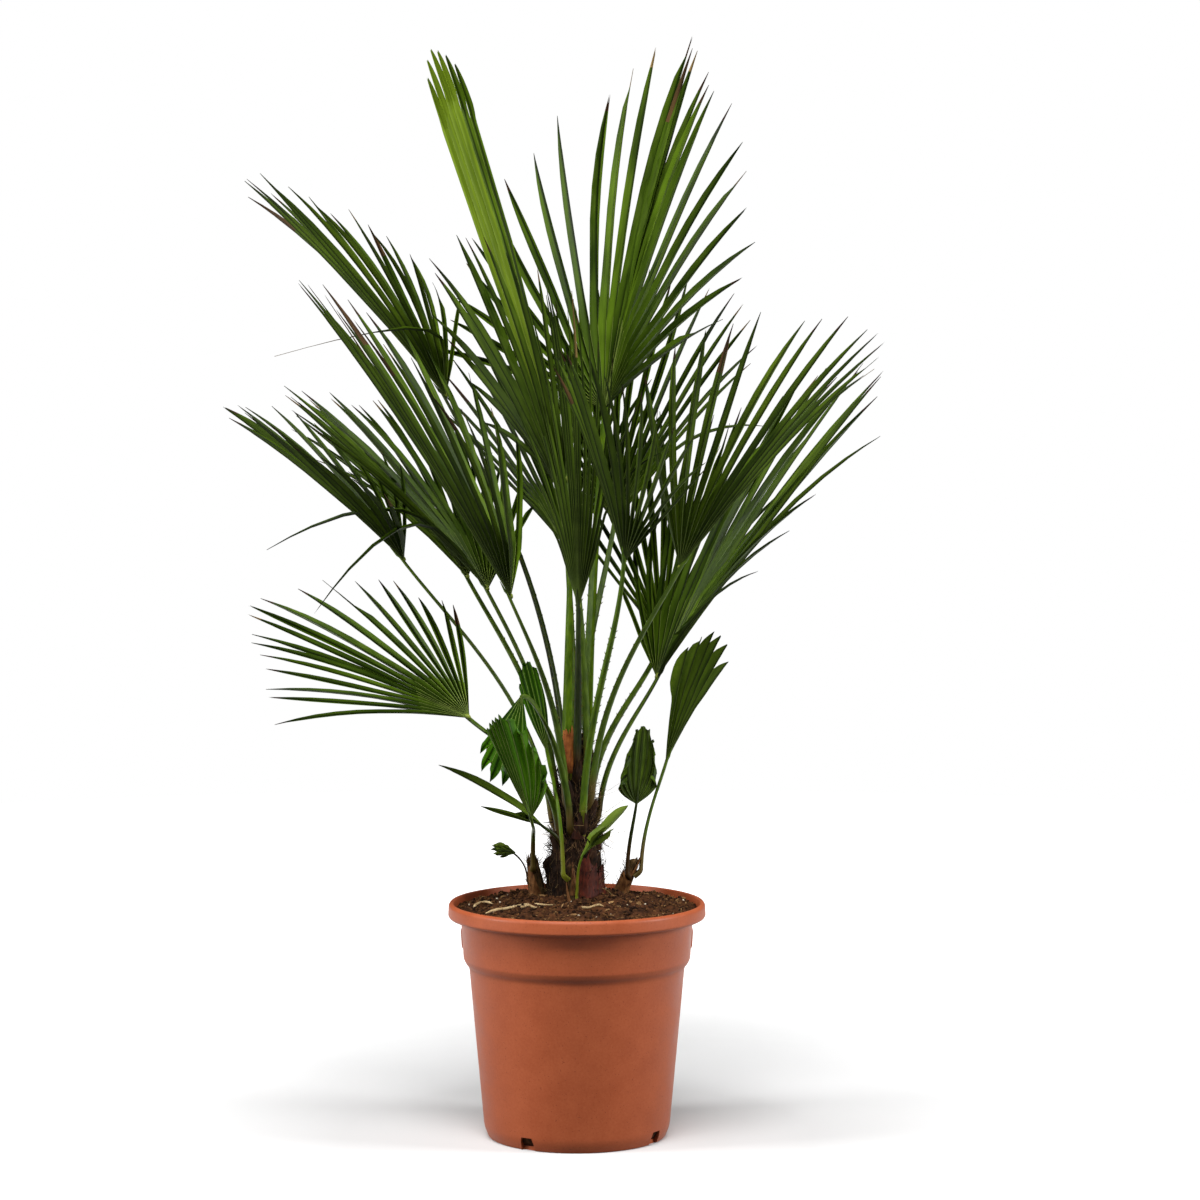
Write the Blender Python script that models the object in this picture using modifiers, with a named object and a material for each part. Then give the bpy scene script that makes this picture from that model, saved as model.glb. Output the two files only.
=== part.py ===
"""Potted European fan palm, about 1.16 m tall, in a terracotta coloured nursery pot.

Metres, +Z up. The origin is the centre of the pot's flat underside, and the plant is seen
from -Y. One main stem and three young side shoots rise from the soil. Every frond is a petiole,
a tapering limb that starts at the stem, and a blade, a pleated fan of pointed leaflets that
starts at the petiole's tip. Pot, soil, stems, petioles and blades are all separate solids.
"""

from math import cos, pi, radians, sin

import bmesh
import bpy
import numpy as np
from mathutils.bvhtree import BVHTree

GAP = 0.0003            # left between two solids that touch

# Pot, a turned shell: radius and height of each corner of its outer side
RIM_RADIUS = 0.1350
RIM_TOP = 0.2480
RIM_BOTTOM = 0.2320
COLLAR_TOP_RADIUS = 0.1220
COLLAR_FOOT_RADIUS = 0.1195
COLLAR_FOOT = 0.1890
WALL_TOP_RADIUS = 0.1135
WALL_TOP = 0.1795
WALL_FOOT_RADIUS = 0.0980
WALL_FOOT = 0.0110
FOOT_RADIUS = 0.0935
POT_WALL = 0.0030
POT_FLOOR = 0.0040
POT_SEGMENTS = 48
NOTCH_COUNT = 4
NOTCH_FIRST_ANGLE = -122.0
NOTCH_WIDTH = 0.017
NOTCH_HEIGHT = 0.014
NOTCH_DEPTH = 0.016
NOTCH_NARROWING = 0.8    # share of the width left at a notch's top

# Soil: a low mound, flat where the stems stand on it
SOIL_EDGE = 0.2400
SOIL_TOP = 0.2490
SOIL_FLAT_RADIUS = 0.060

# Main stem: where its axis stands, and its radius at some heights above the soil
STEM_X = -0.003
STEM_Y = 0.042
STEM_TOP_X = 0.001
STEM_TOP_Y = 0.034
STEM_RADII = (
    (0.000, 0.0305), (0.012, 0.0285), (0.045, 0.0250), (0.080, 0.0225),
    (0.112, 0.0180), (0.135, 0.0130), (0.155, 0.0085), (0.172, 0.0050),
)

# Blades
HUB_ARC = 0.006          # radius of the arc that a blade starts from
FLANK_TILT = 28.0        # slope of a leaflet's two halves, degrees
THICKNESS_SHARE = 0.0101  # of the blade's length
THIN_AT_HUB = 0.12       # share of the thickness left at the hub, where the pleats meet
WIDTH_AT_MIDDLE = 0.66   # leaflet's width halfway from its split to its tip, as a share
SAG_POWER = 2.2          # how late along a leaflet the sag comes
SAG_BACK = 0.6           # share of the sag off the fan's upper face
SAG_DOWN = 0.4           # share of the sag straight down
SLOPE_STEP = 0.01        # step that the surface's slope is measured over

# Petioles
PETIOLE_TIP_RADIUS = 0.0016
PETIOLE_END_GAP = 0.0010  # between the petiole's end and the arc that the blade starts from
PETIOLE_NARROWING = 0.42
PETIOLE_UPWARD = 0.9     # how far its first pull goes straight up, times its rise
PETIOLE_ONWARD = 0.25    # and how far it goes towards the hub
PETIOLE_ARRIVAL = 0.15   # share of its span over which it turns into the blade's direction
ROOM_ROUND_LIMB = 1.08   # a limb's radius in the test for room
ACROSS = (0.36, 0.48, 0.8)  # unit vector that no limb runs along, to set off its first side
LARGE_STEPS = 8          # points along a petiole
SMALL_STEPS = 6

SHOOT_UPRIGHT = 0.006    # height over which a side shoot stands straight on its foot

# Room for leaflets: the margin kept to all other solids, then the bends tried to find room
TEST_MARGIN = 0.0007
SHORTER = (1.0, 0.85, 0.7, 0.5)
PUSHES_UP = (0.0, 0.05, -0.05, 0.10, -0.10, 0.17, -0.17, 0.25, -0.25)
PUSHES_SIDE = (0.0, 0.04, -0.04, 0.09, -0.09)

# Colours, as sRGB hex, with roughness
COLOURS = {
    "terracotta plastic": ("A4573A", 0.45),
    "potting soil": ("3B2A1D", 0.95),
    "fibrous bark": ("4A3421", 0.90),
    "petiole green": ("5F8427", 0.45),
    "leaflet green": ("3B5720", 0.50),
    "young leaflet green": ("5F8A22", 0.45),
}


def frond(name, hub, az, el, turn, spread, fold, reach, **more):
    """One frond: hub is where petiole and blade meet, az and el the middle leaflet's direction
    and turn the blade's roll about it in degrees, spread the angles to the blade's two edges,
    fold how far those edges lift, and reach the length of the longest leaflet from the hub."""
    row = dict(
        name=name, hub=np.array(hub), az=az, el=el, turn=turn, spread=spread, fold=fold,
        reach=reach, shrink=(0.35, 0.35), droop=0.06, split=0.40, close=0.0, bend=0.0,
        bunch=(0.0, 0.0, 0.35), leaflets=16, rows=2, start=0.12, leave=0, radius=0.0045, strays={},
        colour="leaflet green", stem="main_stem", rise=0.35, blunt=0.0, edge_sag=1.5,
        late=2.2, gap=PETIOLE_END_GAP,
    )
    row.update(more)
    return row


# Fronds of the main stem. start is the height above the soil at which the petiole leaves it,
# bunch is where on the fan leaflets still cling together, how strongly and how far from there,
# and a stray is a leaflet, by its number, that hangs out of line: sideways and outwards, in
# shares of its length.
LARGE = (
    frond("spear", (-0.011, 0.020, 0.690), 180, 74.6, 60, (5, 5), 0, 0.468, close=0.55,
          bend=0.03, leaflets=5, split=0.62, shrink=(0.05, 0.04), droop=0.0,
          start=0.150, radius=0.0064, colour="young leaflet green"),
    frond("top_fan", (0.029, 0.075, 0.764), 54, 81, 14, (70, 73), 22, 0.421,
          shrink=(0.42, 0.25), late=1.0, bunch=(0.18, 0.75, 0.35), leaflets=22, start=0.148,
          radius=0.0064, strays={0: (-0.05, 0.12)}),
    frond("middle_front", (0.002, -0.040, 0.561), -112, 86, 30, (24, 32), 10, 0.344,
          shrink=(0.29, 0.50), bunch=(0.0, 0.6, 0.60), start=0.140,
          strays={0: (-0.40, 0.0), 1: (-0.20, 0.0), 15: (0.15, 0.0)}),
    frond("middle_back", (-0.015, -0.005, 0.676), 173, 69, -37, (35, 52), 19, 0.300,
          leaflets=12, start=0.146, leave=66),
    frond("front", (0.049, -0.130, 0.613), -97, 57, 42, (36, 66), 37, 0.246, leaflets=14,
          shrink=(0.29, 0.29), start=0.081, radius=0.0042),
    frond("right_upper", (0.106, -0.070, 0.604), -1, 54, 26, (41, 52), 36, 0.322,
          shrink=(0.20, 0.20), start=0.112),
    frond("right_lower", (0.085, 0.070, 0.478), 33, 55, 8, (52, 52), 24, 0.436, leaflets=18,
          shrink=(0.51, 0.51), bunch=(-0.2, 0.6, 0.35), start=0.090),
    frond("left_upper", (-0.067, -0.080, 0.574), 196, 59, 12, (44, 61), 31, 0.397,
          leaflets=18, shrink=(0.32, 0.32), start=0.112),
    frond("left_middle", (-0.095, 0.050, 0.574), 143, 45, -6, (51, 56), 26, 0.327,
          leaflets=18, start=0.116, strays={0: (-0.55, -0.75), 1: (0.08, -0.73)}),
    frond("left_outer", (-0.182, 0.020, 0.607), 165, 44, -1, (75, 50), 33, 0.258,
          shrink=(0.38, 0.38), start=0.085, radius=0.0042),
    frond("left_lower", (-0.109, -0.100, 0.452), 158, 30, 35, (39, 48), 6, 0.285,
          shrink=(0.29, 0.41), late=0.8, bunch=(-0.3, 0.5, 0.35), start=0.072),
    frond("left_top", (-0.142, 0.120, 0.778), 168, 50, -7, (57, 54), 40, 0.327, leaflets=18,
          shrink=(0.45, 0.45), start=0.146, strays={0: (0.69, -0.80)}),
    frond("back_top", (0.040, 0.150, 0.640), 72, 62, 0, (42, 42), 25, 0.330, start=0.138,
          leave=24, strays={15: (-0.08, -0.39)}),
    frond("back_middle", (-0.012, 0.165, 0.612), 100, 52, 0, (42, 42), 25, 0.320, start=0.118),
    frond("back_right", (0.092, 0.152, 0.510), 72, 60, 0, (44, 42), 25, 0.300, start=0.100),
    frond("back_left", (-0.119, 0.128, 0.582), 139, 46, 0, (42, 46), 25, 0.300, start=0.098),
)

# Young fronds low on the plant, on the two side shoots and the main stem's foot
SMALL = (
    frond("shoot_cup", (-0.046, -0.114, 0.351), 200, 74, -60, (50, 16), 20, 0.116,
          shrink=(0.50, 0.02), late=1.0, split=0.85, close=0.45, leaflets=8, start=0.038,
          radius=0.0026, stem="left_shoot", blunt=0.6, colour="young leaflet green"),
    frond("shoot_pair", (-0.034, 0.006, 0.326), 184, 30, -70, (7, 7), 0, 0.139,
          shrink=(0.0, 0.46), split=0.30, leaflets=2, start=0.050, leave=20, radius=0.0026),
    frond("shoot_tip", (-0.064, 0.020, 0.296), 180, 15, -80, (24, 24), 0, 0.028,
          split=0.60, leaflets=4, start=0.020, leave=-24, radius=0.0016, stem="left_shoot",
          colour="young leaflet green"),
    frond("folded", (-0.055, -0.082, 0.475), 215, -70, 65, (20, 20), 0, 0.095, leave=10, gap=0.0030,
          shrink=(0.10, 0.25), split=0.80, leaflets=5, rows=7, start=0.084, radius=0.0040,
          blunt=0.6, colour="young leaflet green"),
    frond("shoot_tall", (0.094, 0.060, 0.387), 10, 70, 50, (16, 15), 15, 0.155,
          shrink=(0.10, 0.10), split=0.50, leaflets=6, start=0.030, radius=0.0036,
          stem="right_shoot"),
    frond("shoot_round", (0.063, 0.030, 0.347), -60, 82, 10, (58, 58), 10, 0.088,
          shrink=(0.20, 0.20), split=0.90, close=0.76, leaflets=7, start=0.026, leave=-36,
          radius=0.0024, stem="right_shoot", blunt=0.6),
    frond("front_young", (-0.031, 0.022, 0.402), 176, 77, 80, (15, 15), 0, 0.103,
          shrink=(0.16, 0.16), split=0.88, close=0.60, leaflets=5, start=0.036, leave=70,
          radius=0.0034, stem="front_shoot", rise=0.5, blunt=0.6, colour="young leaflet green"),
    frond("foot_leaf", (0.003, -0.020, 0.296), -10, 50, 60, (4, 4), 0, 0.080,
          split=0.45, leaflets=2, start=0.006, radius=0.0018, stem="front_shoot",
          colour="young leaflet green"),
)

# Short stems of the side shoots: foot on the soil, top and radii at foot and top
SHOOTS = {
    "left_shoot": ((-0.042, 0.040), (-0.047, 0.032, 0.290), 0.0085, 0.0050),
    "front_shoot": ((-0.0035, -0.004), (-0.0078, -0.0100, 0.287), 0.0058, 0.0028),
    "right_shoot": ((0.045, 0.062), (0.061, 0.054, 0.285), 0.0080, 0.0050),
}


def colour_of(hex_code):
    """sRGB hex to linear RGBA: each channel through the sRGB curve."""
    c = np.array([int(hex_code[i:i + 2], 16) for i in (0, 2, 4)]) / 255
    linear = np.where(c <= 0.04045, c / 12.92, ((c + 0.055) / 1.055) ** 2.4)
    return (*linear, 1.0)


def material(name):
    found = bpy.data.materials.get(name)
    if found:
        return found
    made = bpy.data.materials.new(name)
    made.use_nodes = True
    shader = made.node_tree.nodes["Principled BSDF"]
    hex_code, roughness = COLOURS[name]
    shader.inputs["Base Color"].default_value = colour_of(hex_code)
    shader.inputs["Roughness"].default_value = roughness
    made.diffuse_color = colour_of(hex_code)
    return made


def add_object(name, data, collection, material_name=None):
    obj = bpy.data.objects.new(name, data)
    collection.objects.link(obj)
    if material_name:
        data.materials.append(material(material_name))
    return obj


def turned(name, profile, collection, material_name, steps=POT_SEGMENTS):
    """A closed profile of (radius, height), from the axis down the outer side and back."""
    mesh = bpy.data.meshes.new(name)
    mesh.from_pydata(
        [(r, 0.0, z) for r, z in profile], [(i, i + 1) for i in range(len(profile) - 1)], []
    )
    obj = add_object(name, mesh, collection, material_name)
    screw = obj.modifiers.new("turn", "SCREW")
    screw.steps = screw.render_steps = steps
    screw.use_merge_vertices = True
    screw.merge_threshold = 1e-5
    return obj


def make_pot(parts, cutters):
    """The pot's shell, and the trapezoid drain notches cut where its wall meets its foot."""
    outer = [
        (RIM_RADIUS - 0.0035, RIM_TOP), (RIM_RADIUS - 0.0010, RIM_TOP - 0.0012),
        (RIM_RADIUS, RIM_TOP - 0.0040), (RIM_RADIUS + 0.0005, RIM_BOTTOM + 0.0010),
        (RIM_RADIUS - 0.0010, RIM_BOTTOM), (COLLAR_TOP_RADIUS + 0.0020, RIM_BOTTOM - 0.0010),
        (COLLAR_TOP_RADIUS, RIM_BOTTOM - 0.0035), (COLLAR_FOOT_RADIUS, COLLAR_FOOT),
        (COLLAR_FOOT_RADIUS - 0.0022, COLLAR_FOOT - 0.0048),
        (WALL_TOP_RADIUS, WALL_TOP), (WALL_FOOT_RADIUS, WALL_FOOT), (FOOT_RADIUS, 0.0),
    ]
    inner = [
        (FOOT_RADIUS - POT_WALL, POT_FLOOR), (WALL_FOOT_RADIUS - POT_WALL, WALL_FOOT),
        (WALL_TOP_RADIUS - POT_WALL, WALL_TOP), (COLLAR_FOOT_RADIUS - POT_WALL, COLLAR_FOOT),
        (COLLAR_TOP_RADIUS - POT_WALL, RIM_BOTTOM - 0.0035),
        (RIM_RADIUS - 0.0060, RIM_BOTTOM + 0.0060), (RIM_RADIUS - 0.0050, RIM_TOP - 0.0010),
    ]
    loop = outer + [(0.0, 0.0), (0.0, POT_FLOOR)] + inner + outer[:1]
    pot = turned("pot", loop, parts, "terracotta plastic")
    radius = WALL_FOOT_RADIUS
    for i in range(NOTCH_COUNT):
        angle = radians(NOTCH_FIRST_ANGLE + 360 * i / NOTCH_COUNT)
        mesh = bpy.data.meshes.new("notch")
        shape = bmesh.new()
        bmesh.ops.create_cube(shape, size=1.0)
        for vertex in shape.verts:
            narrow = NOTCH_NARROWING if vertex.co.z > 0 else 1.0
            vertex.co.x *= NOTCH_DEPTH
            vertex.co.y *= NOTCH_WIDTH * narrow
            vertex.co.z *= 2 * NOTCH_HEIGHT
        shape.to_mesh(mesh)
        shape.free()
        notch = add_object("notch_cutter_%d" % i, mesh, cutters)
        notch.location = (radius * cos(angle), radius * sin(angle), 0.0)
        notch.rotation_euler = (0, 0, angle)
        notch.hide_render = True
        notch.display_type = "WIRE"
        cut = pot.modifiers.new("notch %d" % i, "BOOLEAN")
        cut.object = notch
        cut.operation = "DIFFERENCE"
    return pot


def make_soil(parts):
    """Soil filling the pot: it follows the inner wall, and its flat middle carries the stems."""
    gap = POT_WALL + GAP
    side = [
        (SOIL_FLAT_RADIUS, SOIL_TOP), (0.095, SOIL_TOP - 0.0035),
        (RIM_RADIUS - 0.0085, SOIL_EDGE - 0.0035),
        (COLLAR_TOP_RADIUS - gap - 0.0005, RIM_BOTTOM - 0.0035),
        (COLLAR_FOOT_RADIUS - gap - 0.0003, COLLAR_FOOT), (WALL_TOP_RADIUS - gap - 0.0003, WALL_TOP),
        (WALL_FOOT_RADIUS - gap - 0.0003, WALL_FOOT),
        (FOOT_RADIUS - gap - 0.0006, POT_FLOOR + GAP),
    ]
    loop = [(0.0, SOIL_TOP)] + side + [(0.0, POT_FLOOR + GAP)]
    return turned("soil", loop, parts, "potting soil")


def limb(name, points, radii, collection, material_name, roundness=1):
    """A round tapering limb: a poly spline with a bevel, its ends capped."""
    curve = bpy.data.curves.new(name, "CURVE")
    curve.dimensions = "3D"
    curve.bevel_depth = 1.0
    curve.bevel_resolution = roundness
    curve.use_fill_caps = True
    spline = curve.splines.new("POLY")
    spline.points.add(len(points) - 1)
    for point, place, radius in zip(spline.points, points, radii):
        point.co = (*place, 1.0)
        point.radius = radius
    return add_object(name, curve, collection, material_name)


def stem_axis(height):
    """The main stem's centre at a height above the soil: it stands straight on its
    flat foot and then leans evenly to its tip."""
    share = max(0.0, height - STEM_RADII[1][0]) / STEM_RADII[-1][0]
    x = STEM_X + (STEM_TOP_X - STEM_X) * share
    y = STEM_Y + (STEM_TOP_Y - STEM_Y) * share
    return np.array([x, y, SOIL_TOP + GAP + height])


def stem_radius(height):
    heights, radii = zip(*STEM_RADII)
    return float(np.interp(height, heights, radii))


def ring_tube(points, radii, sides=6):
    """Vertices and faces of a closed tube round a path, used only to test for room."""
    points = np.asarray(points)
    along = np.gradient(points, axis=0)
    along /= np.linalg.norm(along, axis=1)[:, None]
    across = np.cross(along, ACROSS)
    across /= np.linalg.norm(across, axis=1)[:, None]
    other = np.cross(along, across)
    angle = (2 * pi * np.arange(sides) / sides)[None, :, None]
    wheel = np.cos(angle) * across[:, None] + np.sin(angle) * other[:, None]
    ring = (points[:, None] + np.asarray(radii)[:, None, None] * wheel).reshape(-1, 3)
    last = (len(points) - 1) * sides
    faces = [tuple(range(sides)), tuple(range(last, last + sides))]
    for i in range(0, last, sides):
        for j in range(sides):
            k = (j + 1) % sides
            faces.append((i + j, i + k, i + sides + k, i + sides + j))
    return ring, faces


class Space:
    """The solids placed so far, kept as search trees, and a test whether a new one is clear."""

    def __init__(self):
        self.taken = []

    def add(self, points, faces):
        tree = BVHTree.FromPolygons([tuple(p) for p in points], faces)
        self.taken.append((points.min(axis=0), points.max(axis=0), tree))

    def clear(self, points, faces, skip=()):
        low, high = points.min(axis=0), points.max(axis=0)
        tree = None
        for i, (a, b, other) in enumerate(self.taken):
            if i in skip or (high < a).any() or (b < low).any():
                continue
            if tree is None:
                tree = BVHTree.FromPolygons([tuple(p) for p in points], faces)
            if tree.overlap(other):
                return False
        return True


def fan_axes(row):
    """Unit vectors along the fan's middle, to its side and out of its upper face."""
    az, el, turn = radians(row["az"]), radians(row["el"]), radians(row["turn"])
    ahead = np.array([cos(el) * cos(az), cos(el) * sin(az), sin(el)])
    face = np.array([-sin(el) * cos(az), -sin(el) * sin(az), cos(el)])
    side = np.cross(ahead, face)
    return ahead, cos(turn) * side + sin(turn) * face, cos(turn) * face - sin(turn) * side


def fan_length(row, t):
    """Reach of the fan at t: the longest in the middle, less towards its two edges."""
    shrink = row["shrink"][0 if t < 0 else 1]
    return row["reach"] * (1 - shrink * min(abs(t), 1.0) ** row["late"])


def fan_point(row, t, s):
    """The fan's surface: t runs from -1 to 1 across it and s is a share of its length there.
    A leaflet's direction swings off the middle by spread times t, its plane lifts by fold
    times t, and it sags with its reach and bows outwards with the reach's square."""
    ahead, side, face = fan_axes(row)
    low, high = row["spread"]
    where, pull, width = row["bunch"]
    swing = t - pull * (t - where) * np.exp(-(((t - where) / width) ** 2))
    theta = radians((low if t < 0 else high) * swing)
    lift = radians(row["fold"] * abs(t))
    across = (1.0 if theta >= 0 else -1.0) * cos(lift) * side + sin(lift) * face
    spread_out = (1 - row["close"] * s) * abs(sin(theta))
    body = s * (cos(theta) * ahead + spread_out * across)
    sag = row["droop"] * (1 + row["edge_sag"] * t * t) * s**SAG_POWER
    down = -SAG_BACK * face + np.array([0.0, 0.0, -SAG_DOWN])
    bow = row["bend"] * s * s * np.array([cos(radians(row["az"])), sin(radians(row["az"])), 0.0])
    return row["hub"] + fan_length(row, t) * (body + sag * down + bow)


def leaflet_frame(row, t, s):
    """Place, side vector and upward normal on the fan's surface."""
    centre = fan_point(row, t, s)
    along = fan_point(row, t, s + SLOPE_STEP) - centre
    side = fan_point(row, t + SLOPE_STEP, s) - fan_point(row, t - SLOPE_STEP, s)
    along /= np.linalg.norm(along)
    side -= along * (side @ along)
    side /= np.linalg.norm(side)
    return centre, side, np.cross(side, along)


def leaflet_points(row, t, pitch, half, nudge, stations, wide=0.0):
    """Left edge, middle and right edge of one leaflet at each station, with its upward normal.
    It narrows from its width at the split to its tip, and its halves rise off the middle. Its
    sideways and outward bend grows with the square of the way from the split to the tip."""
    side_push, up_push, short = nudge
    free = 1 - row["split"]
    rows = []
    for u in stations:
        s = row["split"] + free * u * short
        centre, side, up = leaflet_frame(row, t, s)
        grown = ((s - row["split"]) / free) ** 2 * row["reach"] * free
        centre = centre + grown * (side_push * side + up_push * up)
        if u >= 1 and row["blunt"] == 0:
            rows.append((centre, centre, centre, up))
            continue
        taper = 1.0 if u == 0 else row["blunt"] if u >= 1 else WIDTH_AT_MIDDLE
        w = half * taper + wide
        rise = up * w * pitch
        rows.append((centre - side * w + rise, centre, centre + side * w + rise, up))
    return rows


def slab(rows, below, above):
    """A closed shell round a strip of points, for the test of room."""
    count = len(rows[0]) - 1
    low = [p - below * r[-1] for r in rows for p in r[:-1]]
    high = [p + above * r[-1] for r in rows for p in r[:-1]]
    n = len(low)
    faces = []
    for i in range(len(rows) - 1):
        for j in range(count - 1):
            a = i * count + j
            b = a + count
            faces += [(a, a + 1, b + 1, b), (a + n, b + n, b + 1 + n, a + 1 + n)]
        for j in (0, count - 1):
            a = i * count + j
            faces.append((a, a + count, a + count + n, a + n))
    for i in (0, len(rows) - 1):
        for j in range(count - 1):
            a = i * count + j
            faces.append((a, a + 1, a + 1 + n, a + n))
    return np.array(low + high), faces


class Blade:
    """The fan of one frond: its joined part near the hub, and its free leaflets."""

    def __init__(self, row):
        self.row = row
        self.count = row["leaflets"]
        self.step = 1.0 / (self.count - 1)
        self.middles = [-1 + 2 * i * self.step for i in range(self.count)]
        self.thick = THICKNESS_SHARE * row["reach"]
        self.pitch = np.tan(radians(FLANK_TILT))
        self.free = {}

    def column(self, t, ridge, s):
        centre, _, up = leaflet_frame(self.row, t, s)
        if ridge:
            other = fan_point(self.row, t + self.step, s)
            centre = centre + up * self.pitch * np.linalg.norm(other - centre)
        return centre, up

    def palm(self):
        """Rows of points of the joined part, ridges and middles in turn, with normals."""
        rows = []
        for share in np.linspace(0, 1, self.row["rows"]):
            points, ups = [], []
            for k in range(2 * self.count + 1):
                t = -1 + (k - 1) * self.step
                hub = HUB_ARC / fan_length(self.row, t)
                point, up = self.column(t, k % 2 == 0, hub + share * (self.row["split"] - hub))
                points.append(point)
                ups.append(up)
            rows.append((points, ups))
        return rows

    def palm_shell(self, below, above):
        strip = [tuple(points) + (np.mean(ups, axis=0),) for points, ups in self.palm()]
        return slab(strip, below, above)

    def half_width(self, i):
        t, s = self.middles[i], self.row["split"]
        return float(np.linalg.norm(fan_point(self.row, t + self.step, s) - fan_point(self.row, t, s)))

    def nudges(self, i):
        """Small bends to try on a leaflet that has no room, the smallest first, then the same
        on a shorter one."""
        side, up = self.row["strays"].get(i, (0.0, 0.0))
        for short in SHORTER:
            for more_up in PUSHES_UP:
                for more_side in PUSHES_SIDE:
                    yield side + more_side, up + more_up, short

    def place_leaflet(self, i, space, own, siblings):
        """Keeps a leaflet where it is clear of every other solid and its neighbours' tails."""
        for nudge in self.nudges(i):
            args = (self.row, self.middles[i], self.pitch, self.half_width(i), nudge)
            body = leaflet_points(*args, (0.0, 0.5, 1.0), TEST_MARGIN)
            if not space.clear(*slab(body, TEST_MARGIN, self.thick + TEST_MARGIN), own):
                continue
            tail = slab(leaflet_points(*args, (0.3, 0.5, 1.0)), 0.0, self.thick)
            if not siblings.clear(*tail):
                continue
            self.free[i] = leaflet_points(*args, (0.5, 1.0))
            own.add(len(space.taken))
            space.add(*slab(leaflet_points(*args, (0.0, 0.5, 1.0)), 0.0, self.thick))
            siblings.add(*tail)
            return

    def make(self, parts):
        """The open pleated surface, thickened towards its upper face, thinly at the hub."""
        verts, faces = [], []
        for points, _ in self.palm():
            verts += points
        wide = 2 * self.count + 1
        for start in range(0, len(verts) - wide, wide):
            for k in range(start, start + wide - 1):
                faces.append((k, k + 1, wide + k + 1, wide + k))
        last = len(verts) - wide
        for i, rows in self.free.items():
            left = [last + 2 * i, last + 2 * i + 1, last + 2 * i + 2]
            for row in rows:
                if np.allclose(row[0], row[2]):
                    verts.append(row[1])
                    tip = len(verts) - 1
                    faces += [(left[0], left[1], tip), (left[1], left[2], tip)]
                    continue
                verts += list(row[:3])
                here = [len(verts) - 3, len(verts) - 2, len(verts) - 1]
                faces.append((left[0], left[1], here[1], here[0]))
                faces.append((left[1], left[2], here[2], here[1]))
                left = here
        name = self.row["name"] + "_blade"
        mesh = bpy.data.meshes.new(name)
        mesh.from_pydata([tuple(p) for p in verts], [], faces)
        obj = add_object(name, mesh, parts, self.row["colour"])
        full = obj.vertex_groups.new(name="full thickness")
        full.add(list(range(wide, len(verts))), 1.0, "REPLACE")
        thick = obj.modifiers.new("thickness", "SOLIDIFY")
        thick.thickness = self.thick
        thick.offset = 1.0
        thick.vertex_group = full.name
        thick.thickness_vertex_group = THIN_AT_HUB


def carrier(row):
    """Centre and radius of the stem where a petiole leaves it."""
    if row["stem"] == "main_stem":
        return stem_axis(row["start"]), stem_radius(row["start"])
    foot, top, r_foot, r_top = SHOOTS[row["stem"]]
    low = np.array([*foot, SOIL_TOP + GAP])
    share = min(1.0, row["start"] / (top[2] - low[2]))
    return low + share * (np.array(top) - low), r_foot + share * (r_top - r_foot)


def petiole_path(row, steps):
    """A cubic curve from the stem's side, upwards at first, into the blade's own direction."""
    centre, stem_r = carrier(row)
    ahead, _, _ = fan_axes(row)
    hub = row["hub"] + ahead * (HUB_ARC - row["gap"])
    out = hub - centre
    angle = np.arctan2(out[1], out[0]) + radians(row["leave"])
    base = centre + (stem_r + row["radius"] + GAP) * np.array([cos(angle), sin(angle), 0.0])
    span = np.linalg.norm(hub - base)
    way = (hub - base) / span
    pull = np.array([0, 0, PETIOLE_UPWARD]) + PETIOLE_ONWARD * way
    first = base + row["rise"] * span * pull
    second = hub - PETIOLE_ARRIVAL * span * (ahead + way)
    t = np.linspace(0, 1, steps)[:, None]
    near = (1 - t) ** 3 * base + 3 * (1 - t) ** 2 * t * first
    curve = near + 3 * (1 - t) * t**2 * second + t**3 * hub
    radii = row["radius"] * (1 - PETIOLE_NARROWING * t[:, 0])
    radii[-1] = PETIOLE_TIP_RADIUS
    return curve, radii


def make_stems(parts, space):
    """The main stem and the short stems of the side shoots, each standing on the soil."""
    points = [stem_axis(height) for height, _ in STEM_RADII]
    radii = [radius for _, radius in STEM_RADII]
    limb("main_stem", points, radii, parts, "fibrous bark", 3)
    space.add(*ring_tube(points, radii, 12))
    for name, (foot, top, r_foot, r_top) in SHOOTS.items():
        low = np.array([*foot, SOIL_TOP + GAP])
        points = [low, low + np.array([0, 0, SHOOT_UPRIGHT]), np.array(top)]
        radii = [r_foot, r_foot, r_top]
        limb(name, points, radii, parts, "fibrous bark", 2)
        space.add(*ring_tube(points, radii, 8))


def make_fronds(parts, space):
    """Petioles first, then the blades' joined parts, and last the leaflets into what room
    is left: a leaflet that finds none is left out."""
    rows = LARGE + SMALL
    owned = []
    for row in rows:
        owned.append({len(space.taken)})
        points, radii = petiole_path(row, LARGE_STEPS if row in LARGE else SMALL_STEPS)
        limb(row["name"] + "_petiole", points, radii, parts, "petiole green", 1)
        space.add(*ring_tube(points, radii * ROOM_ROUND_LIMB))
    blades = [Blade(row) for row in rows]
    for blade, own in zip(blades, owned):
        own.add(len(space.taken))
        space.add(*blade.palm_shell(0.0, blade.thick))
    for blade, own in zip(blades, owned):
        siblings = Space()
        for i in sorted(range(blade.count), key=lambda i: abs(blade.middles[i])):
            blade.place_leaflet(i, space, own, siblings)
        blade.make(parts)
    print("leaflets left out:", sum(blade.count - len(blade.free) for blade in blades))


def main():
    for obj in list(bpy.data.objects):
        bpy.data.objects.remove(obj)
    plant = bpy.data.collections.new("potted_european_fan_palm")
    cutters = bpy.data.collections.new("cutters")
    for collection in (plant, cutters):
        bpy.context.scene.collection.children.link(collection)
    make_pot(plant, cutters)
    make_soil(plant)
    space = Space()
    make_stems(plant, space)
    make_fronds(plant, space)


main()
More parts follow.
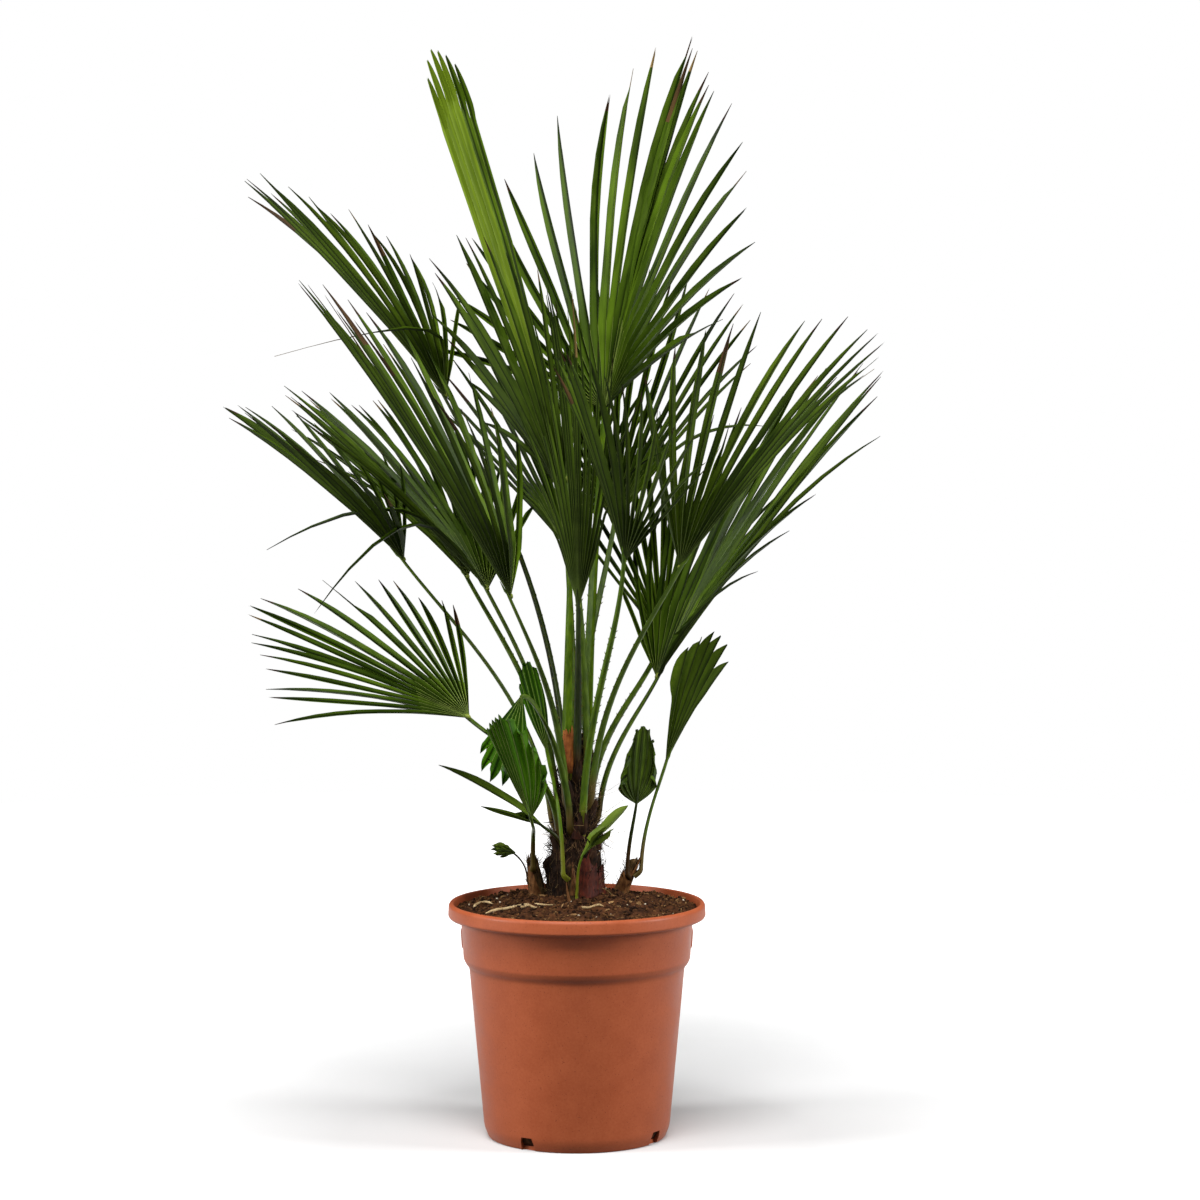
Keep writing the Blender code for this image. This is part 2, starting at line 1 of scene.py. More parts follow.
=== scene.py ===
"""Looks of the potted European fan palm: finer leaflets on the fans, channelled petioles with
thorns, a fibrous stem with old leaf bases, a moulded pot and granular soil.

Every fan repeats the rule that its plain blade was made by, with more and narrower leaflets.
Metres, +Z up, and the plant is seen from -Y.
"""

import bpy
import numpy as np
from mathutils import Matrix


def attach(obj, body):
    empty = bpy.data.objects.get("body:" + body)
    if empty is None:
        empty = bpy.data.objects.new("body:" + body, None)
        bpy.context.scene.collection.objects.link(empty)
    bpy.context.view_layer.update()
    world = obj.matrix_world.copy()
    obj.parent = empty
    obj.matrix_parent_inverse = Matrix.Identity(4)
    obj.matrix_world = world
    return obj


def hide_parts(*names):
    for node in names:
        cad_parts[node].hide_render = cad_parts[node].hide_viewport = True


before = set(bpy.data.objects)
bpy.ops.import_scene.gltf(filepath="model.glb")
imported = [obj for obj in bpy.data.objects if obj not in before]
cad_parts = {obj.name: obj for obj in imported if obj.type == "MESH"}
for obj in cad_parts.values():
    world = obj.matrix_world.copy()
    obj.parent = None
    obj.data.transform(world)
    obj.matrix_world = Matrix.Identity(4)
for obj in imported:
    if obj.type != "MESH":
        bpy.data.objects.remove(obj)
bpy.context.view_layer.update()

GOLDEN_ANGLE = np.radians(137.5)
UP = np.array([0, 0, 1.0])
POT_PLASTIC = "injection-moulded terracotta polypropylene"

# Pot, soil and stem, as in the source
RIM_RADIUS = 0.1350
RIM_TOP = 0.2480
RIM_BOTTOM = 0.2320
COLLAR_TOP_RADIUS = 0.1220
COLLAR_FOOT_RADIUS = 0.1195
COLLAR_FOOT = 0.1890
WALL_TOP_RADIUS = 0.1135
WALL_TOP = 0.1795
WALL_FOOT_RADIUS = 0.0980
WALL_FOOT = 0.0110
FOOT_RADIUS = 0.0935
POT_WALL = 0.0030
POT_FLOOR = 0.0040
NOTCH_COUNT = 4
NOTCH_FIRST_ANGLE = -122.0
NOTCH_WIDTH = 0.017
NOTCH_HEIGHT = 0.014
NOTCH_DEPTH = 0.016
LUG_HEIGHT = 0.2090
LUG_TALL = 0.0220
LUG_WIDTH = 0.0170
LUG_PROUD = 0.0016
SOIL_EDGE = 0.2400
SOIL_TOP = 0.2493
SOIL_FLAT_RADIUS = 0.060
STEM_X = -0.003
STEM_Y = 0.042
STEM_TOP_X = 0.001
STEM_TOP_Y = 0.034
STEM_RADII = (
    (0.000, 0.0305), (0.012, 0.0285), (0.045, 0.0250), (0.080, 0.0225),
    (0.112, 0.0180), (0.135, 0.0130), (0.155, 0.0085), (0.172, 0.0050),
)
SHOOTS = {
    "left_shoot": ((-0.042, 0.040), (-0.047, 0.032, 0.290), 0.0085, 0.0050),
    "front_shoot": ((-0.0035, -0.004), (-0.0078, -0.0100, 0.287), 0.0058, 0.0028),
    "right_shoot": ((0.045, 0.062), (0.061, 0.054, 0.285), 0.0080, 0.0050),
}

# Fans, as in the source
HUB_ARC = 0.006
SAG_POWER = 2.2
SAG_BACK = 0.6
SAG_DOWN = 0.4
SLOPE_STEP = 0.01
PETIOLE_END_GAP = 0.0010
PETIOLE_NARROWING = 0.42

# A petiole's foot is brown up to the first and green from the second, in metres along it from
# where it starts inside the stem
FOOT_BROWN = 0.030
FOOT_GREEN = 0.058

# Finer leaflets
LEAF_START = 0.0015      # distance from the hub at which the leaflets begin
FREE = np.array([0.08, 0.18, 0.30, 0.44, 0.58, 0.72, 0.84, 0.92, 1.00])
LEAF_SLOPE = 47.0        # how far a free leaflet's halves rise off its rib, in degrees
EASE = 0.30              # share of a free leaflet over which it takes its own width and slope
STACK = 0.0012           # how far neighbours in a bunch lie behind each other
SIDE_SCATTER = 0.020     # how unevenly free leaflets lean sideways, as a share of their length
UP_SCATTER = 0.030       # and up or down
HANG = -0.012            # how far all of them lean down
TWIST_SCATTER = 0.35     # how unevenly they turn about their rib, in radians
FORKED = 0.3             # share of leaflets that end in two short points
TORN = 0.25              # share of leaflets with one half torn off short
TORN_WIDTH = 0.3         # and how much of that half's width is left
RIB_THICKNESS = 0.0007
RIB_RADIUS = 0.00042
RIB_SUNK = 0.00015
# Thin pale lines on the ridges of joined leaflets: partly the paler seam itself, partly painted
# highlight where light catches the ridges
SEAM_AND_HIGHLIGHT_RADIUS = 0.00020
SEAM_AND_HIGHLIGHT_RAISED = 0.00012
POINT_WIDTH = 0.0003
SMALL_FAN = 0.2          # fans with less reach have plain tips, and no thorns or crest


def linear(hex_code):
    """sRGB hex to linear RGBA, each channel through the sRGB curve."""
    c = np.array([int(hex_code[i:i + 2], 16) for i in (0, 2, 4)]) / 255
    curved = np.where(c <= 0.04045, c / 12.92, ((c + 0.055) / 1.055) ** 2.4)
    return (*curved.tolist(), 1.0)


def unit(v):
    """Vectors at length one."""
    return v / np.maximum(np.linalg.norm(v, axis=-1, keepdims=True), 1e-12)


# Materials


def node(tree, kind, inputs=(), **settings):
    """Adds one node. settings are its own properties, and inputs gives its sockets, by name or
    number, each a plain value, another node's output socket, or a node for its first output."""
    made = tree.nodes.new("ShaderNode" + kind)
    for key, value in settings.items():
        setattr(made, key, value)
    for key, value in dict(inputs).items():
        if isinstance(value, bpy.types.Node):
            value = value.outputs[0]
        if isinstance(value, bpy.types.NodeSocket):
            tree.links.new(value, made.inputs[key])
        else:
            made.inputs[key].default_value = value
    return made


def surface(name, constants):
    """A new material with its tree and its Principled shader, whose constants are set on it."""
    made = bpy.data.materials.new(name)
    made.use_nodes = True
    shader = made.node_tree.nodes["Principled BSDF"]
    for key, value in constants.items():
        shader.inputs[key].default_value = value
    return made, made.node_tree, shader


def painted(tree, pattern, low, high, under, over, least=0.0, most=1.0, **settings):
    """One colour painted on another in a share that goes from least to most as the pattern
    goes from low to high. A colour is an sRGB hex code, linear RGBA or a node's output."""
    under, over = (linear(c) if isinstance(c, str) else c for c in (under, over))
    share = node(tree, "MapRange", {0: pattern, 1: low, 2: high, 3: least, 4: most}, **settings)
    return node(tree, "Mix", {0: share, 6: under, 7: over}, data_type="RGBA").outputs[2]


def streaks(tree, flat, *kinds):
    """Lengthwise streaks, each kind by its waves to a metre along, across and up, and detail."""
    return [node(tree, "TexNoise", {
        "Vector": node(tree, "Mapping", {"Vector": flat, "Scale": waves}),
        "Scale": 1.0, "Detail": detail}) for *waves, detail in kinds]


def finished(made, tree, shader, colour, height, strength, depth, gloss=None):
    """Gives the shader its colour, a bump from the height, and its gloss if that varies."""
    bump = node(tree, "Bump", {"Strength": strength, "Distance": depth, "Height": height})
    tree.links.new(colour, shader.inputs["Base Color"])
    tree.links.new(bump.outputs[0], shader.inputs["Normal"])
    if gloss:
        tree.links.new(gloss.outputs[0], shader.inputs["Roughness"])
    return made


FOLD_SHADE_FLOOR = 0.0003    # half width of the painted shade along the fold in a leaflet's middle, in metres
FOLD_SHADE_EDGE = 0.0030     # and where that painted shade has run out


def leaf_blade(name, dark, light, roughness=0.40, veins=0.35, shade=0.90):
    """Palm leaflet, a grown blade with a thin wax bloom: satin, with fine parallel veins about
    1.3 mm apart that run its whole length, patches of lighter and darker green 70 mm long, and
    painted shade along the fold in its middle, strongest within 0.3 mm of it and gone 3 mm off it."""
    made, tree, shader = surface(name, {"Roughness": roughness, "IOR": 1.45,
                                        "Specular IOR Level": 0.08})
    flat = node(tree, "TexCoord").outputs["UV"]
    vein, tone = streaks(tree, flat, (6.0, 770.0, 1.0, 2.0), (14.0, 90.0, 1.0, 3.0))
    base = painted(tree, tone, 0.32, 0.68, dark, light)
    veined = painted(tree, vein, 0.35, 0.65, base, light, 0.0, veins)
    beside = node(tree, "SeparateXYZ", {0: flat})
    off = node(tree, "Math", {0: beside.outputs["Y"]}, operation="ABSOLUTE")
    red, green, blue, _ = linear(dark)
    # Painted shade in the fold: the colour darkens towards the leaflet's middle line, by the share
    # shade
    fold_shaded = painted(tree, off, FOLD_SHADE_FLOOR, FOLD_SHADE_EDGE, veined,
                      (0.30 * red, 0.30 * green, 0.25 * blue, 1.0), shade, 0.0,
                      interpolation_type="SMOOTHSTEP")
    gloss = node(tree, "MapRange", {0: tone, 1: 0.3, 2: 0.7,
                                    3: roughness - 0.06, 4: roughness + 0.08})
    return finished(made, tree, shader, fold_shaded, vein, 0.5, 0.0003, gloss)


def stalk_skin(name, dark, light, roughness=0.38, foot=None):
    """Petiole, a smooth waxy green stalk: glossy, with fine lengthwise fibres 1 mm apart and
    faint paler flecks some 15 mm long. With a foot colour it turns to that over its first few
    centimetres, by the distance along it: the pattern's X, shifted by whole metres only."""
    made, tree, shader = surface(name, {"Roughness": roughness, "IOR": 1.45,
                                        "Specular IOR Level": 0.14})
    flat = node(tree, "TexCoord").outputs["UV"]
    fine, fleck = streaks(tree, flat, (25.0, 1000.0, 1.0, 2.0), (65.0, 260.0, 1.0, 3.0))
    base = painted(tree, fleck, 0.3, 0.7, dark, light)
    if foot:
        onward = node(tree, "SeparateXYZ", {0: flat})
        along = node(tree, "Math", {0: onward.outputs["X"]}, operation="FRACT")
        base = painted(tree, along, FOOT_BROWN, FOOT_GREEN, base, foot, 0.85, 0.0,
                       interpolation_type="SMOOTHSTEP")
    return finished(made, tree, shader, base, fine, 0.4, 0.0002)


def rough_matter(name, dark, light, roughness, ior, stretch, grains, patches, mixed, bump):
    """Matt matter whose tone follows fine grains and broader patches, each by scale and detail,
    mixed in a share and read up to a high value, with a bump of a strength and a depth."""
    made, tree, shader = surface(name, {"Roughness": roughness, "IOR": ior,
                                        "Specular IOR Level": 0.2})
    place = node(tree, "TexCoord").outputs["Object"]
    drawn = node(tree, "Mapping", {"Vector": place, "Scale": stretch})
    grain = node(tree, "TexNoise", {"Vector": drawn, "Scale": grains[0], "Detail": grains[1]})
    patch = node(tree, "TexNoise", {"Vector": place, "Scale": patches[0], "Detail": patches[1]})
    both = node(tree, "Mix", {0: mixed[0], 2: grain, 3: patch})
    base = painted(tree, both, 0.38, mixed[1], dark, light)
    return finished(made, tree, shader, base, grain, *bump)


def dry_fibre(name, dark, light, roughness=0.85, scale=900.0):
    """Dry leaf-base fibre: matt, streaked upwards along the strand, dark where it is damp and
    old, in patches about 9 mm across."""
    return rough_matter(name, dark, light, roughness, 1.4, (1.0, 1.0, 0.25), (scale, 4.0),
                        (110.0, 2.0), (0.5, 0.62), (0.7, 0.0008))


def peat(name, dark, light, scale=260.0):
    """Peat-based potting soil, loose and crumbly: matt, dark brown with lighter fibrous
    crumbs about 4 mm across."""
    return rough_matter(name, dark, light, 0.95, 1.35, (1.0, 1.0, 1.0), (scale, 6.0),
                        (45.0, 3.0), (0.45, 0.64), (0.8, 0.0012))


def pot_plastic():
    """Injection-moulded polypropylene, terracotta coloured: satin, with the faint cloudy
    flow of the mould about 25 mm across, a fine pebble some 0.8 mm across, which is drawn as
    coarse as it needs to show, and dark specks of recycled plastic under a millimetre."""
    made, tree, shader = surface(POT_PLASTIC, {"Roughness": 0.44, "IOR": 1.49,
                                               "Specular IOR Level": 0.22})
    place = node(tree, "TexCoord").outputs["Object"]
    cloud, mottle, speck, pebble = [
        node(tree, "TexNoise", {"Vector": place, "Scale": scale, "Detail": detail})
        for scale, detail in ((40.0, 4.0), (420.0, 2.0), (700.0, 0.0), (1200.0, 1.0))]
    mixed = node(tree, "Mix", {0: 0.4, 2: cloud, 3: mottle})
    base = painted(tree, mixed, 0.36, 0.64, "9A4B2A", "A65533")
    dotted = painted(tree, speck, 0.76, 0.80, base, "5C2A1C", 0.0, 0.55)
    gloss = node(tree, "MapRange", {0: cloud, 1: 0.3, 2: 0.7, 3: 0.38, 4: 0.50})
    return finished(made, tree, shader, dotted, pebble, 0.12, 0.0002, gloss)


def studio_card():
    """Matt white board under the plant. It glows faintly towards its rim, so that it runs out
    into the white air with no edge."""
    made, tree, shader = surface("matt white studio board", {
        "Roughness": 0.9, "Base Color": linear("D2D2D2"), "Emission Color": linear("FFFFFF")})
    place = node(tree, "TexCoord").outputs["Object"]
    away = node(tree, "VectorMath", {0: place}, operation="LENGTH")
    glow = node(tree, "MapRange", {0: away.outputs["Value"], 1: 0.25, 2: 1.1, 3: 0.0, 4: 0.9})
    tree.links.new(glow.outputs[0], shader.inputs["Emission Strength"])
    return made


# Meshes from arrays


class Batch:
    """Closed shapes kept as arrays until they become one mesh of four-sided faces."""

    def __init__(self):
        self.places, self.faces, self.flats, self.slots = [], [], [], []
        self.count = 0

    def skin(self, rings, across=None, shift=0.0, slots=None):
        """Skins shapes from ring to ring and closes both ends. rings has the axes shape,
        station, corner and coordinate, and going round a ring the outside lies to the right of
        the way ahead. across, in metres, has one corner more than the ring. shift moves each
        shape's pattern along, and slots gives the material of each strip between corners.
        It returns the batch."""
        shapes, stations, corners, _ = rings.shape
        middle = rings.mean(axis=2)
        steps = np.linalg.norm(np.diff(middle, axis=1), axis=-1)
        along = np.concatenate([np.zeros((shapes, 1)), np.cumsum(steps, axis=1)], axis=1)
        along = along + np.asarray(shift).reshape(-1, 1)
        if across is None:
            sides = np.linalg.norm(np.roll(rings, -1, axis=2) - rings, axis=-1)
            across = np.concatenate([np.zeros(sides.shape[:2] + (1,)), np.cumsum(sides, -1)], -1)
        at = np.arange(shapes * stations * corners).reshape(shapes, stations, corners)
        after = np.roll(at, -1, axis=2)
        quads = np.stack([at[:, :-1], after[:, :-1], after[:, 1:], at[:, 1:]], -1)
        wide = np.broadcast_to(along[:, :, None], at.shape)
        first, second = across[..., :-1], across[..., 1:]
        flats = np.stack([
            np.stack([wide[:, on:stations - 1 + on], edge[:, on:stations - 1 + on]], -1)
            for on, edge in ((0, first), (0, second), (1, second), (1, first))], -2)
        strips = np.zeros(corners, int) if slots is None else np.asarray(slots)
        slot = np.broadcast_to(strips, quads.shape[:-1])
        self._keep(quads.reshape(-1, 4), flats.reshape(-1, 4, 2), slot.reshape(-1))
        near = np.arange(corners // 2 - 1)
        lid = np.stack([near, near + 1, corners - 2 - near, corners - 1 - near], -1)
        for station, order in ((0, lid[:, ::-1]), (stations - 1, lid)):
            caps = at[:, station][:, order]
            spots = np.stack([wide[:, station][:, order], first[:, station][:, order]], -1)
            self._keep(caps.reshape(-1, 4), spots.reshape(-1, 4, 2),
                       np.full(caps.shape[0] * caps.shape[1], strips[0]))
        self.places.append(rings.reshape(-1, 3))
        self.count += rings[..., 0].size
        return self

    def _keep(self, quads, flats, slot):
        self.faces.append(quads + self.count)
        self.flats.append(flats)
        self.slots.append(slot)

    def piece(self, name, materials, slot, nodes=(), sharp=40.0):
        """Makes the mesh and its object, which stands for the named nodes."""
        faces = np.concatenate(self.faces).astype(np.int32)
        mesh = bpy.data.meshes.new(name)
        mesh.vertices.add(self.count)
        mesh.vertices.foreach_set("co", np.concatenate(self.places).astype(np.float32).ravel())
        mesh.loops.add(faces.size)
        mesh.loops.foreach_set("vertex_index", faces.ravel())
        mesh.polygons.add(len(faces))
        mesh.polygons.foreach_set("loop_start", np.arange(0, faces.size, 4, dtype=np.int32))
        mesh.polygons.foreach_set("material_index", np.concatenate(self.slots).astype(np.int32))
        layer = mesh.uv_layers.new(name="surface")
        layer.uv.foreach_set("vector", np.concatenate(self.flats).astype(np.float32).ravel())
        mesh.update(calc_edges=True)
        return dress(name, mesh, materials, nodes, sharp)


def put(name, data):
    """A new object, linked into the scene."""
    obj = bpy.data.objects.new(name, data)
    bpy.context.scene.collection.objects.link(obj)
    return obj


def dress(name, mesh, materials, nodes=(), sharp=40.0):
    """Puts a mesh into the scene as a piece of the plant, smooth up to the sharp angle."""
    mesh.shade_smooth()
    mesh.set_sharp_from_angle(angle=np.radians(sharp))
    for made in materials:
        mesh.materials.append(made)
    obj = put(name, mesh)
    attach(obj, "root")
    if nodes:
        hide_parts(*nodes)
    return obj


def circle(count):
    """Angles once round, in even steps."""
    return np.linspace(0, 2 * np.pi, count, endpoint=False)


def between(low, high, share):
    """The value at a share of the way from low to high."""
    return low + share * (high - low)


def around(angle):
    """Level unit vectors at the angles."""
    return np.stack([np.cos(angle), np.sin(angle), 0 * angle], -1)


def plate(outer, inner):
    """A thin plate as rings, each out along the outer face and back along the inner one."""
    return np.concatenate([outer, inner[:, ::-1]], axis=1)[None]


def path_length(path):
    """Distance along a path at each of its points."""
    return np.concatenate([[0], np.cumsum(np.linalg.norm(np.diff(path, axis=0), axis=1))])


def sample(at, length, *tables):
    """Each table's rows, one for each distance in length, read at other distances."""
    return [np.stack([np.interp(at, length, column) for column in table.T], -1)
            for table in tables]


def round_section(angle):
    """A circle."""
    return np.cos(angle), np.sin(angle)


def channelled_section(angle):
    """Flat above with a shallow channel, round below, and an edge at either side."""
    x, y = np.cos(angle), np.sin(angle)
    above = 0.40 * y - 0.22 * (1 - np.abs(x)) ** 1.5
    return x, np.where(y > 0, above, 0.92 * y)


def tubes(paths, radii, guide, sides=4, section=round_section):
    """Rings round many paths, axes shape and station. A ring's corner is the path's point plus
    the radius times the section's two coordinates along two vectors square to the path: the
    second is the guide made square to it, and the first is square to both."""
    along = unit(np.gradient(paths, axis=-2))
    over = unit(guide - along * (guide * along).sum(-1, keepdims=True))
    beside = np.cross(over, along)
    x, y = section(2 * np.pi * np.arange(sides) / sides)
    wheel = x[:, None] * beside[..., None, :] + y[:, None] * over[..., None, :]
    return paths[..., None, :] + radii[..., None, None] * wheel


def bezier(a, b, c, d, t):
    """Cubic curve from a to d with the control points b and c."""
    return (1 - t) ** 3 * a + 3 * (1 - t) ** 2 * t * b + 3 * (1 - t) * t**2 * c + t**3 * d


# The fronds' rule, as in the source


def frond(name, hub, az, el, turn, spread, fold, reach, **more):
    """One frond: hub is where petiole and blade meet, az and el the middle leaflet's direction
    and turn the blade's roll about it in degrees, spread the angles to the blade's two edges,
    fold how far those edges lift, and reach the length of the longest leaflet from the hub.

    Edge leaflets are shorter by shrink, later off the middle with a higher late. droop and
    edge_sag are the sag, bend the bow, and close how far the fan closes towards its rim. bunch
    pulls leaflets towards a place, strays bends single ones away, and tint, with other's tint,
    zone, width of the zone and share, says how they are coloured. They are joined for split
    times deep of their length and free beyond, where swell, taper, wide and blunt give their
    form, and loose their disorder. finer is how many more there are than in the source, and
    pleat the slope of the folds. The petiole leaves its stem at the height start, turned by
    leave, its first part rises by rise, and it ends at gap from the hub."""
    row = dict(
        name=name, hub=np.array(hub), az=az, el=el, turn=turn, spread=spread, fold=fold,
        reach=reach, shrink=(0.35, 0.35), droop=0.06, split=0.40, close=0.0, bend=0.0,
        bunch=(0.0, 0.0, 0.35), leaflets=16, start=0.12, leave=0, radius=0.0045, strays={},
        stem="main_stem", rise=0.35, blunt=0.0, edge_sag=1.5, late=2.2, gap=PETIOLE_END_GAP,
        tint="deep", stalk="green", deep=0.60, swell=0.5, taper=3.8, wide=0.95, loose=1.0,
        finer=1.12, pleat=54.0, other=("mid", 0.0, 2.0, 0.25),
    )
    row.update(more)
    return row


LARGE = (
    frond("spear", (-0.011, 0.020, 0.690), 180, 74.6, 60, (5, 5), 0, 0.468, close=0.55,
          bend=0.03, leaflets=5, split=0.62, shrink=(0.05, 0.04), droop=0.0,
          start=0.150, radius=0.0064, tint="young", stalk="bright", deep=1.38, swell=0.0,
          taper=4.0, wide=1.05, loose=0.15, finer=1.2, pleat=16.0, blunt=0.2,
          other=("mid", 0.9, 0.55, 1.0)),
    frond("top_fan", (0.029, 0.075, 0.764), 54, 81, 14, (70, 73), 22, 0.421,
          shrink=(0.42, 0.25), late=1.0, bunch=(0.18, 0.75, 0.35), leaflets=22, start=0.148,
          radius=0.0064, strays={0: (-0.05, 0.12)}, stalk="bright", wide=1.05,
          other=("mid", 0.15, 0.40, 0.6)),
    # Its petiole takes the dark stalk tint as painted shade, where it stands among the other
    # stalks under the crown
    frond("middle_front", (0.002, -0.040, 0.561), -112, 86, 30, (24, 32), 10, 0.344,
          shrink=(0.29, 0.50), bunch=(0.0, 0.6, 0.60), start=0.140, stalk="dark",
          strays={0: (-0.40, 0.0), 1: (-0.20, 0.0), 15: (0.15, 0.0)}),
    frond("middle_back", (-0.015, -0.005, 0.676), 173, 69, -37, (35, 52), 19, 0.300,
          leaflets=12, start=0.146, leave=66),
    frond("front", (0.049, -0.130, 0.613), -97, 57, 42, (36, 66), 37, 0.246, leaflets=14,
          shrink=(0.29, 0.29), start=0.081, radius=0.0042, stalk="bright"),
    frond("right_upper", (0.106, -0.070, 0.604), -1, 54, 26, (41, 52), 36, 0.322,
          shrink=(0.20, 0.20), start=0.112),
    frond("right_lower", (0.085, 0.070, 0.478), 33, 55, 8, (52, 52), 24, 0.436, leaflets=18,
          shrink=(0.51, 0.51), bunch=(-0.2, 0.6, 0.35), start=0.090,
          other=("mid", 0.0, 2.0, 0.35), wide=0.85),
    frond("left_upper", (-0.067, -0.080, 0.574), 196, 59, 12, (44, 61), 31, 0.397,
          leaflets=18, shrink=(0.32, 0.32), start=0.112, wide=0.85),
    frond("left_middle", (-0.095, 0.050, 0.574), 143, 45, -6, (51, 56), 26, 0.327,
          leaflets=18, start=0.116, strays={0: (-0.55, -0.75), 1: (0.08, -0.73)}),
    frond("left_outer", (-0.182, 0.020, 0.607), 165, 44, -1, (75, 50), 33, 0.258,
          shrink=(0.38, 0.38), start=0.085, radius=0.0042),
    frond("left_lower", (-0.109, -0.100, 0.452), 158, 30, 35, (39, 48), 6, 0.285,
          shrink=(0.29, 0.41), late=0.8, bunch=(-0.3, 0.5, 0.35), start=0.072, wide=1.25,
          other=("mid", 0.0, 2.0, 0.3)),
    frond("left_top", (-0.142, 0.120, 0.778), 168, 50, -7, (57, 54), 40, 0.327, leaflets=18,
          shrink=(0.45, 0.45), start=0.146, strays={0: (0.69, -0.80)}, stalk="dark"),
    frond("back_top", (0.040, 0.150, 0.640), 72, 62, 0, (42, 42), 25, 0.330, start=0.138,
          leave=24, strays={15: (-0.08, -0.39)}),
    frond("back_middle", (-0.012, 0.165, 0.612), 100, 52, 0, (42, 42), 25, 0.320, start=0.118),
    frond("back_right", (0.092, 0.152, 0.510), 72, 60, 0, (44, 42), 25, 0.300, start=0.100,
          tint="mid"),
    frond("back_left", (-0.119, 0.128, 0.582), 139, 46, 0, (42, 46), 25, 0.300, start=0.098),
)

SMALL = (
    frond("shoot_cup", (-0.046, -0.114, 0.351), 200, 74, -60, (50, 16), 20, 0.116,
          shrink=(0.50, 0.02), late=1.0, split=0.85, close=0.45, leaflets=8, start=0.038,
          radius=0.0026, stem="left_shoot", tint="fresh", deep=1.12, swell=0.0, taper=1.5,
          loose=0.4, finer=1.2, pleat=34.0),
    frond("shoot_pair", (-0.034, 0.006, 0.326), 184, 30, -70, (7, 7), 0, 0.139,
          shrink=(0.0, 0.46), split=0.30, leaflets=2, start=0.050, leave=20, radius=0.0026,
          tint="mid", stalk="dark", deep=0.8, swell=1.0, taper=3.0, wide=1.0, loose=0.3),
    frond("shoot_tip", (-0.064, 0.020, 0.296), 180, 15, -80, (24, 24), 0, 0.028,
          split=0.60, leaflets=4, start=0.020, leave=-24, radius=0.0016, stem="left_shoot",
          tint="young", stalk="dark", deep=0.8, swell=0.6, taper=4.0, wide=1.9, loose=0.6,
          finer=1.5, pleat=30.0),
    frond("folded", (-0.055, -0.082, 0.475), 215, -70, 65, (20, 20), 0, 0.095,
          shrink=(0.10, 0.25), split=0.80, leaflets=5, start=0.084, leave=10, radius=0.0040,
          gap=0.0030, tint="fresh", deep=1.05, swell=0.0, taper=1.6, loose=0.4, finer=1.2,
          pleat=26.0),
    frond("shoot_tall", (0.094, 0.060, 0.387), 10, 70, 50, (16, 15), 15, 0.155,
          shrink=(0.10, 0.10), split=0.50, leaflets=6, start=0.030, radius=0.0036,
          stem="right_shoot", tint="mid", deep=1.0, swell=0.9, taper=3.6, wide=1.5, loose=0.5,
          finer=1.0, pleat=44.0),
    frond("shoot_round", (0.063, 0.030, 0.347), -60, 82, 10, (58, 58), 10, 0.088,
          shrink=(0.20, 0.20), split=0.90, close=0.76, leaflets=7, start=0.026, leave=-36,
          radius=0.0024, stem="right_shoot", stalk="dark", deep=1.09, swell=0.0, taper=1.3,
          loose=0.0, finer=1.3, pleat=12.0),
    frond("front_young", (-0.031, 0.022, 0.402), 176, 77, 80, (15, 15), 0, 0.103,
          shrink=(0.16, 0.16), split=0.88, close=0.60, leaflets=5, start=0.036, leave=70,
          radius=0.0034, stem="front_shoot", rise=0.5, tint="fresh", stalk="bright", deep=1.10,
          swell=0.0, taper=1.5, loose=0.2, finer=1.2, pleat=22.0),
    frond("foot_leaf", (0.003, -0.020, 0.296), -10, 50, 60, (4, 4), 0, 0.080,
          split=0.45, leaflets=2, start=0.006, radius=0.0018, stem="front_shoot",
          tint="young", stalk="bright", deep=0.8, swell=0.8, taper=4.0, wide=4.2, loose=0.3,
          finer=1.5),
)


def fan_axes(row):
    """Unit vectors along the fan's middle, to its side and out of its upper face."""
    az, el, turn = np.radians([row["az"], row["el"], row["turn"]])
    ahead = np.array([np.cos(el) * np.cos(az), np.cos(el) * np.sin(az), np.sin(el)])
    face = np.array([-np.sin(el) * np.cos(az), -np.sin(el) * np.sin(az), np.cos(el)])
    side = np.cross(ahead, face)
    turned = np.cos(turn) * side + np.sin(turn) * face
    return ahead, turned, np.cos(turn) * face - np.sin(turn) * side


def fan_length(row, t):
    """Reach of the fan at t: the longest in the middle, less towards its two edges."""
    shrink = np.where(t < 0, *row["shrink"])
    return row["reach"] * (1 - shrink * np.minimum(np.abs(t), 1.0) ** row["late"])


def fan_point(row, t, s):
    """The fan's surface: t runs from -1 to 1 across it and s is a share of its length there.
    A leaflet's direction swings off the middle by spread times t, its plane lifts by fold
    times t, and it sags with its reach and bows outwards with the reach's square."""
    t, s = np.broadcast_arrays(t, s)
    t, s = t[..., None], s[..., None]
    ahead, side, face = fan_axes(row)
    where, pull, width = row["bunch"]
    swing = t - pull * (t - where) * np.exp(-(((t - where) / width) ** 2))
    theta = np.radians(np.where(t < 0, *row["spread"]) * swing)
    lift = np.radians(row["fold"] * np.abs(t))
    across = np.where(theta >= 0, 1.0, -1.0) * np.cos(lift) * side + np.sin(lift) * face
    body = s * (np.cos(theta) * ahead + (1 - row["close"] * s) * np.abs(np.sin(theta)) * across)
    sag = row["droop"] * (1 + row["edge_sag"] * t * t) * np.maximum(s, 0) ** SAG_POWER
    down = -SAG_BACK * face + np.array([0.0, 0.0, -SAG_DOWN])
    az = np.radians(row["az"])
    bow = row["bend"] * s * s * np.array([np.cos(az), np.sin(az), 0.0])
    return row["hub"] + fan_length(row, t) * (body + sag * down + bow)


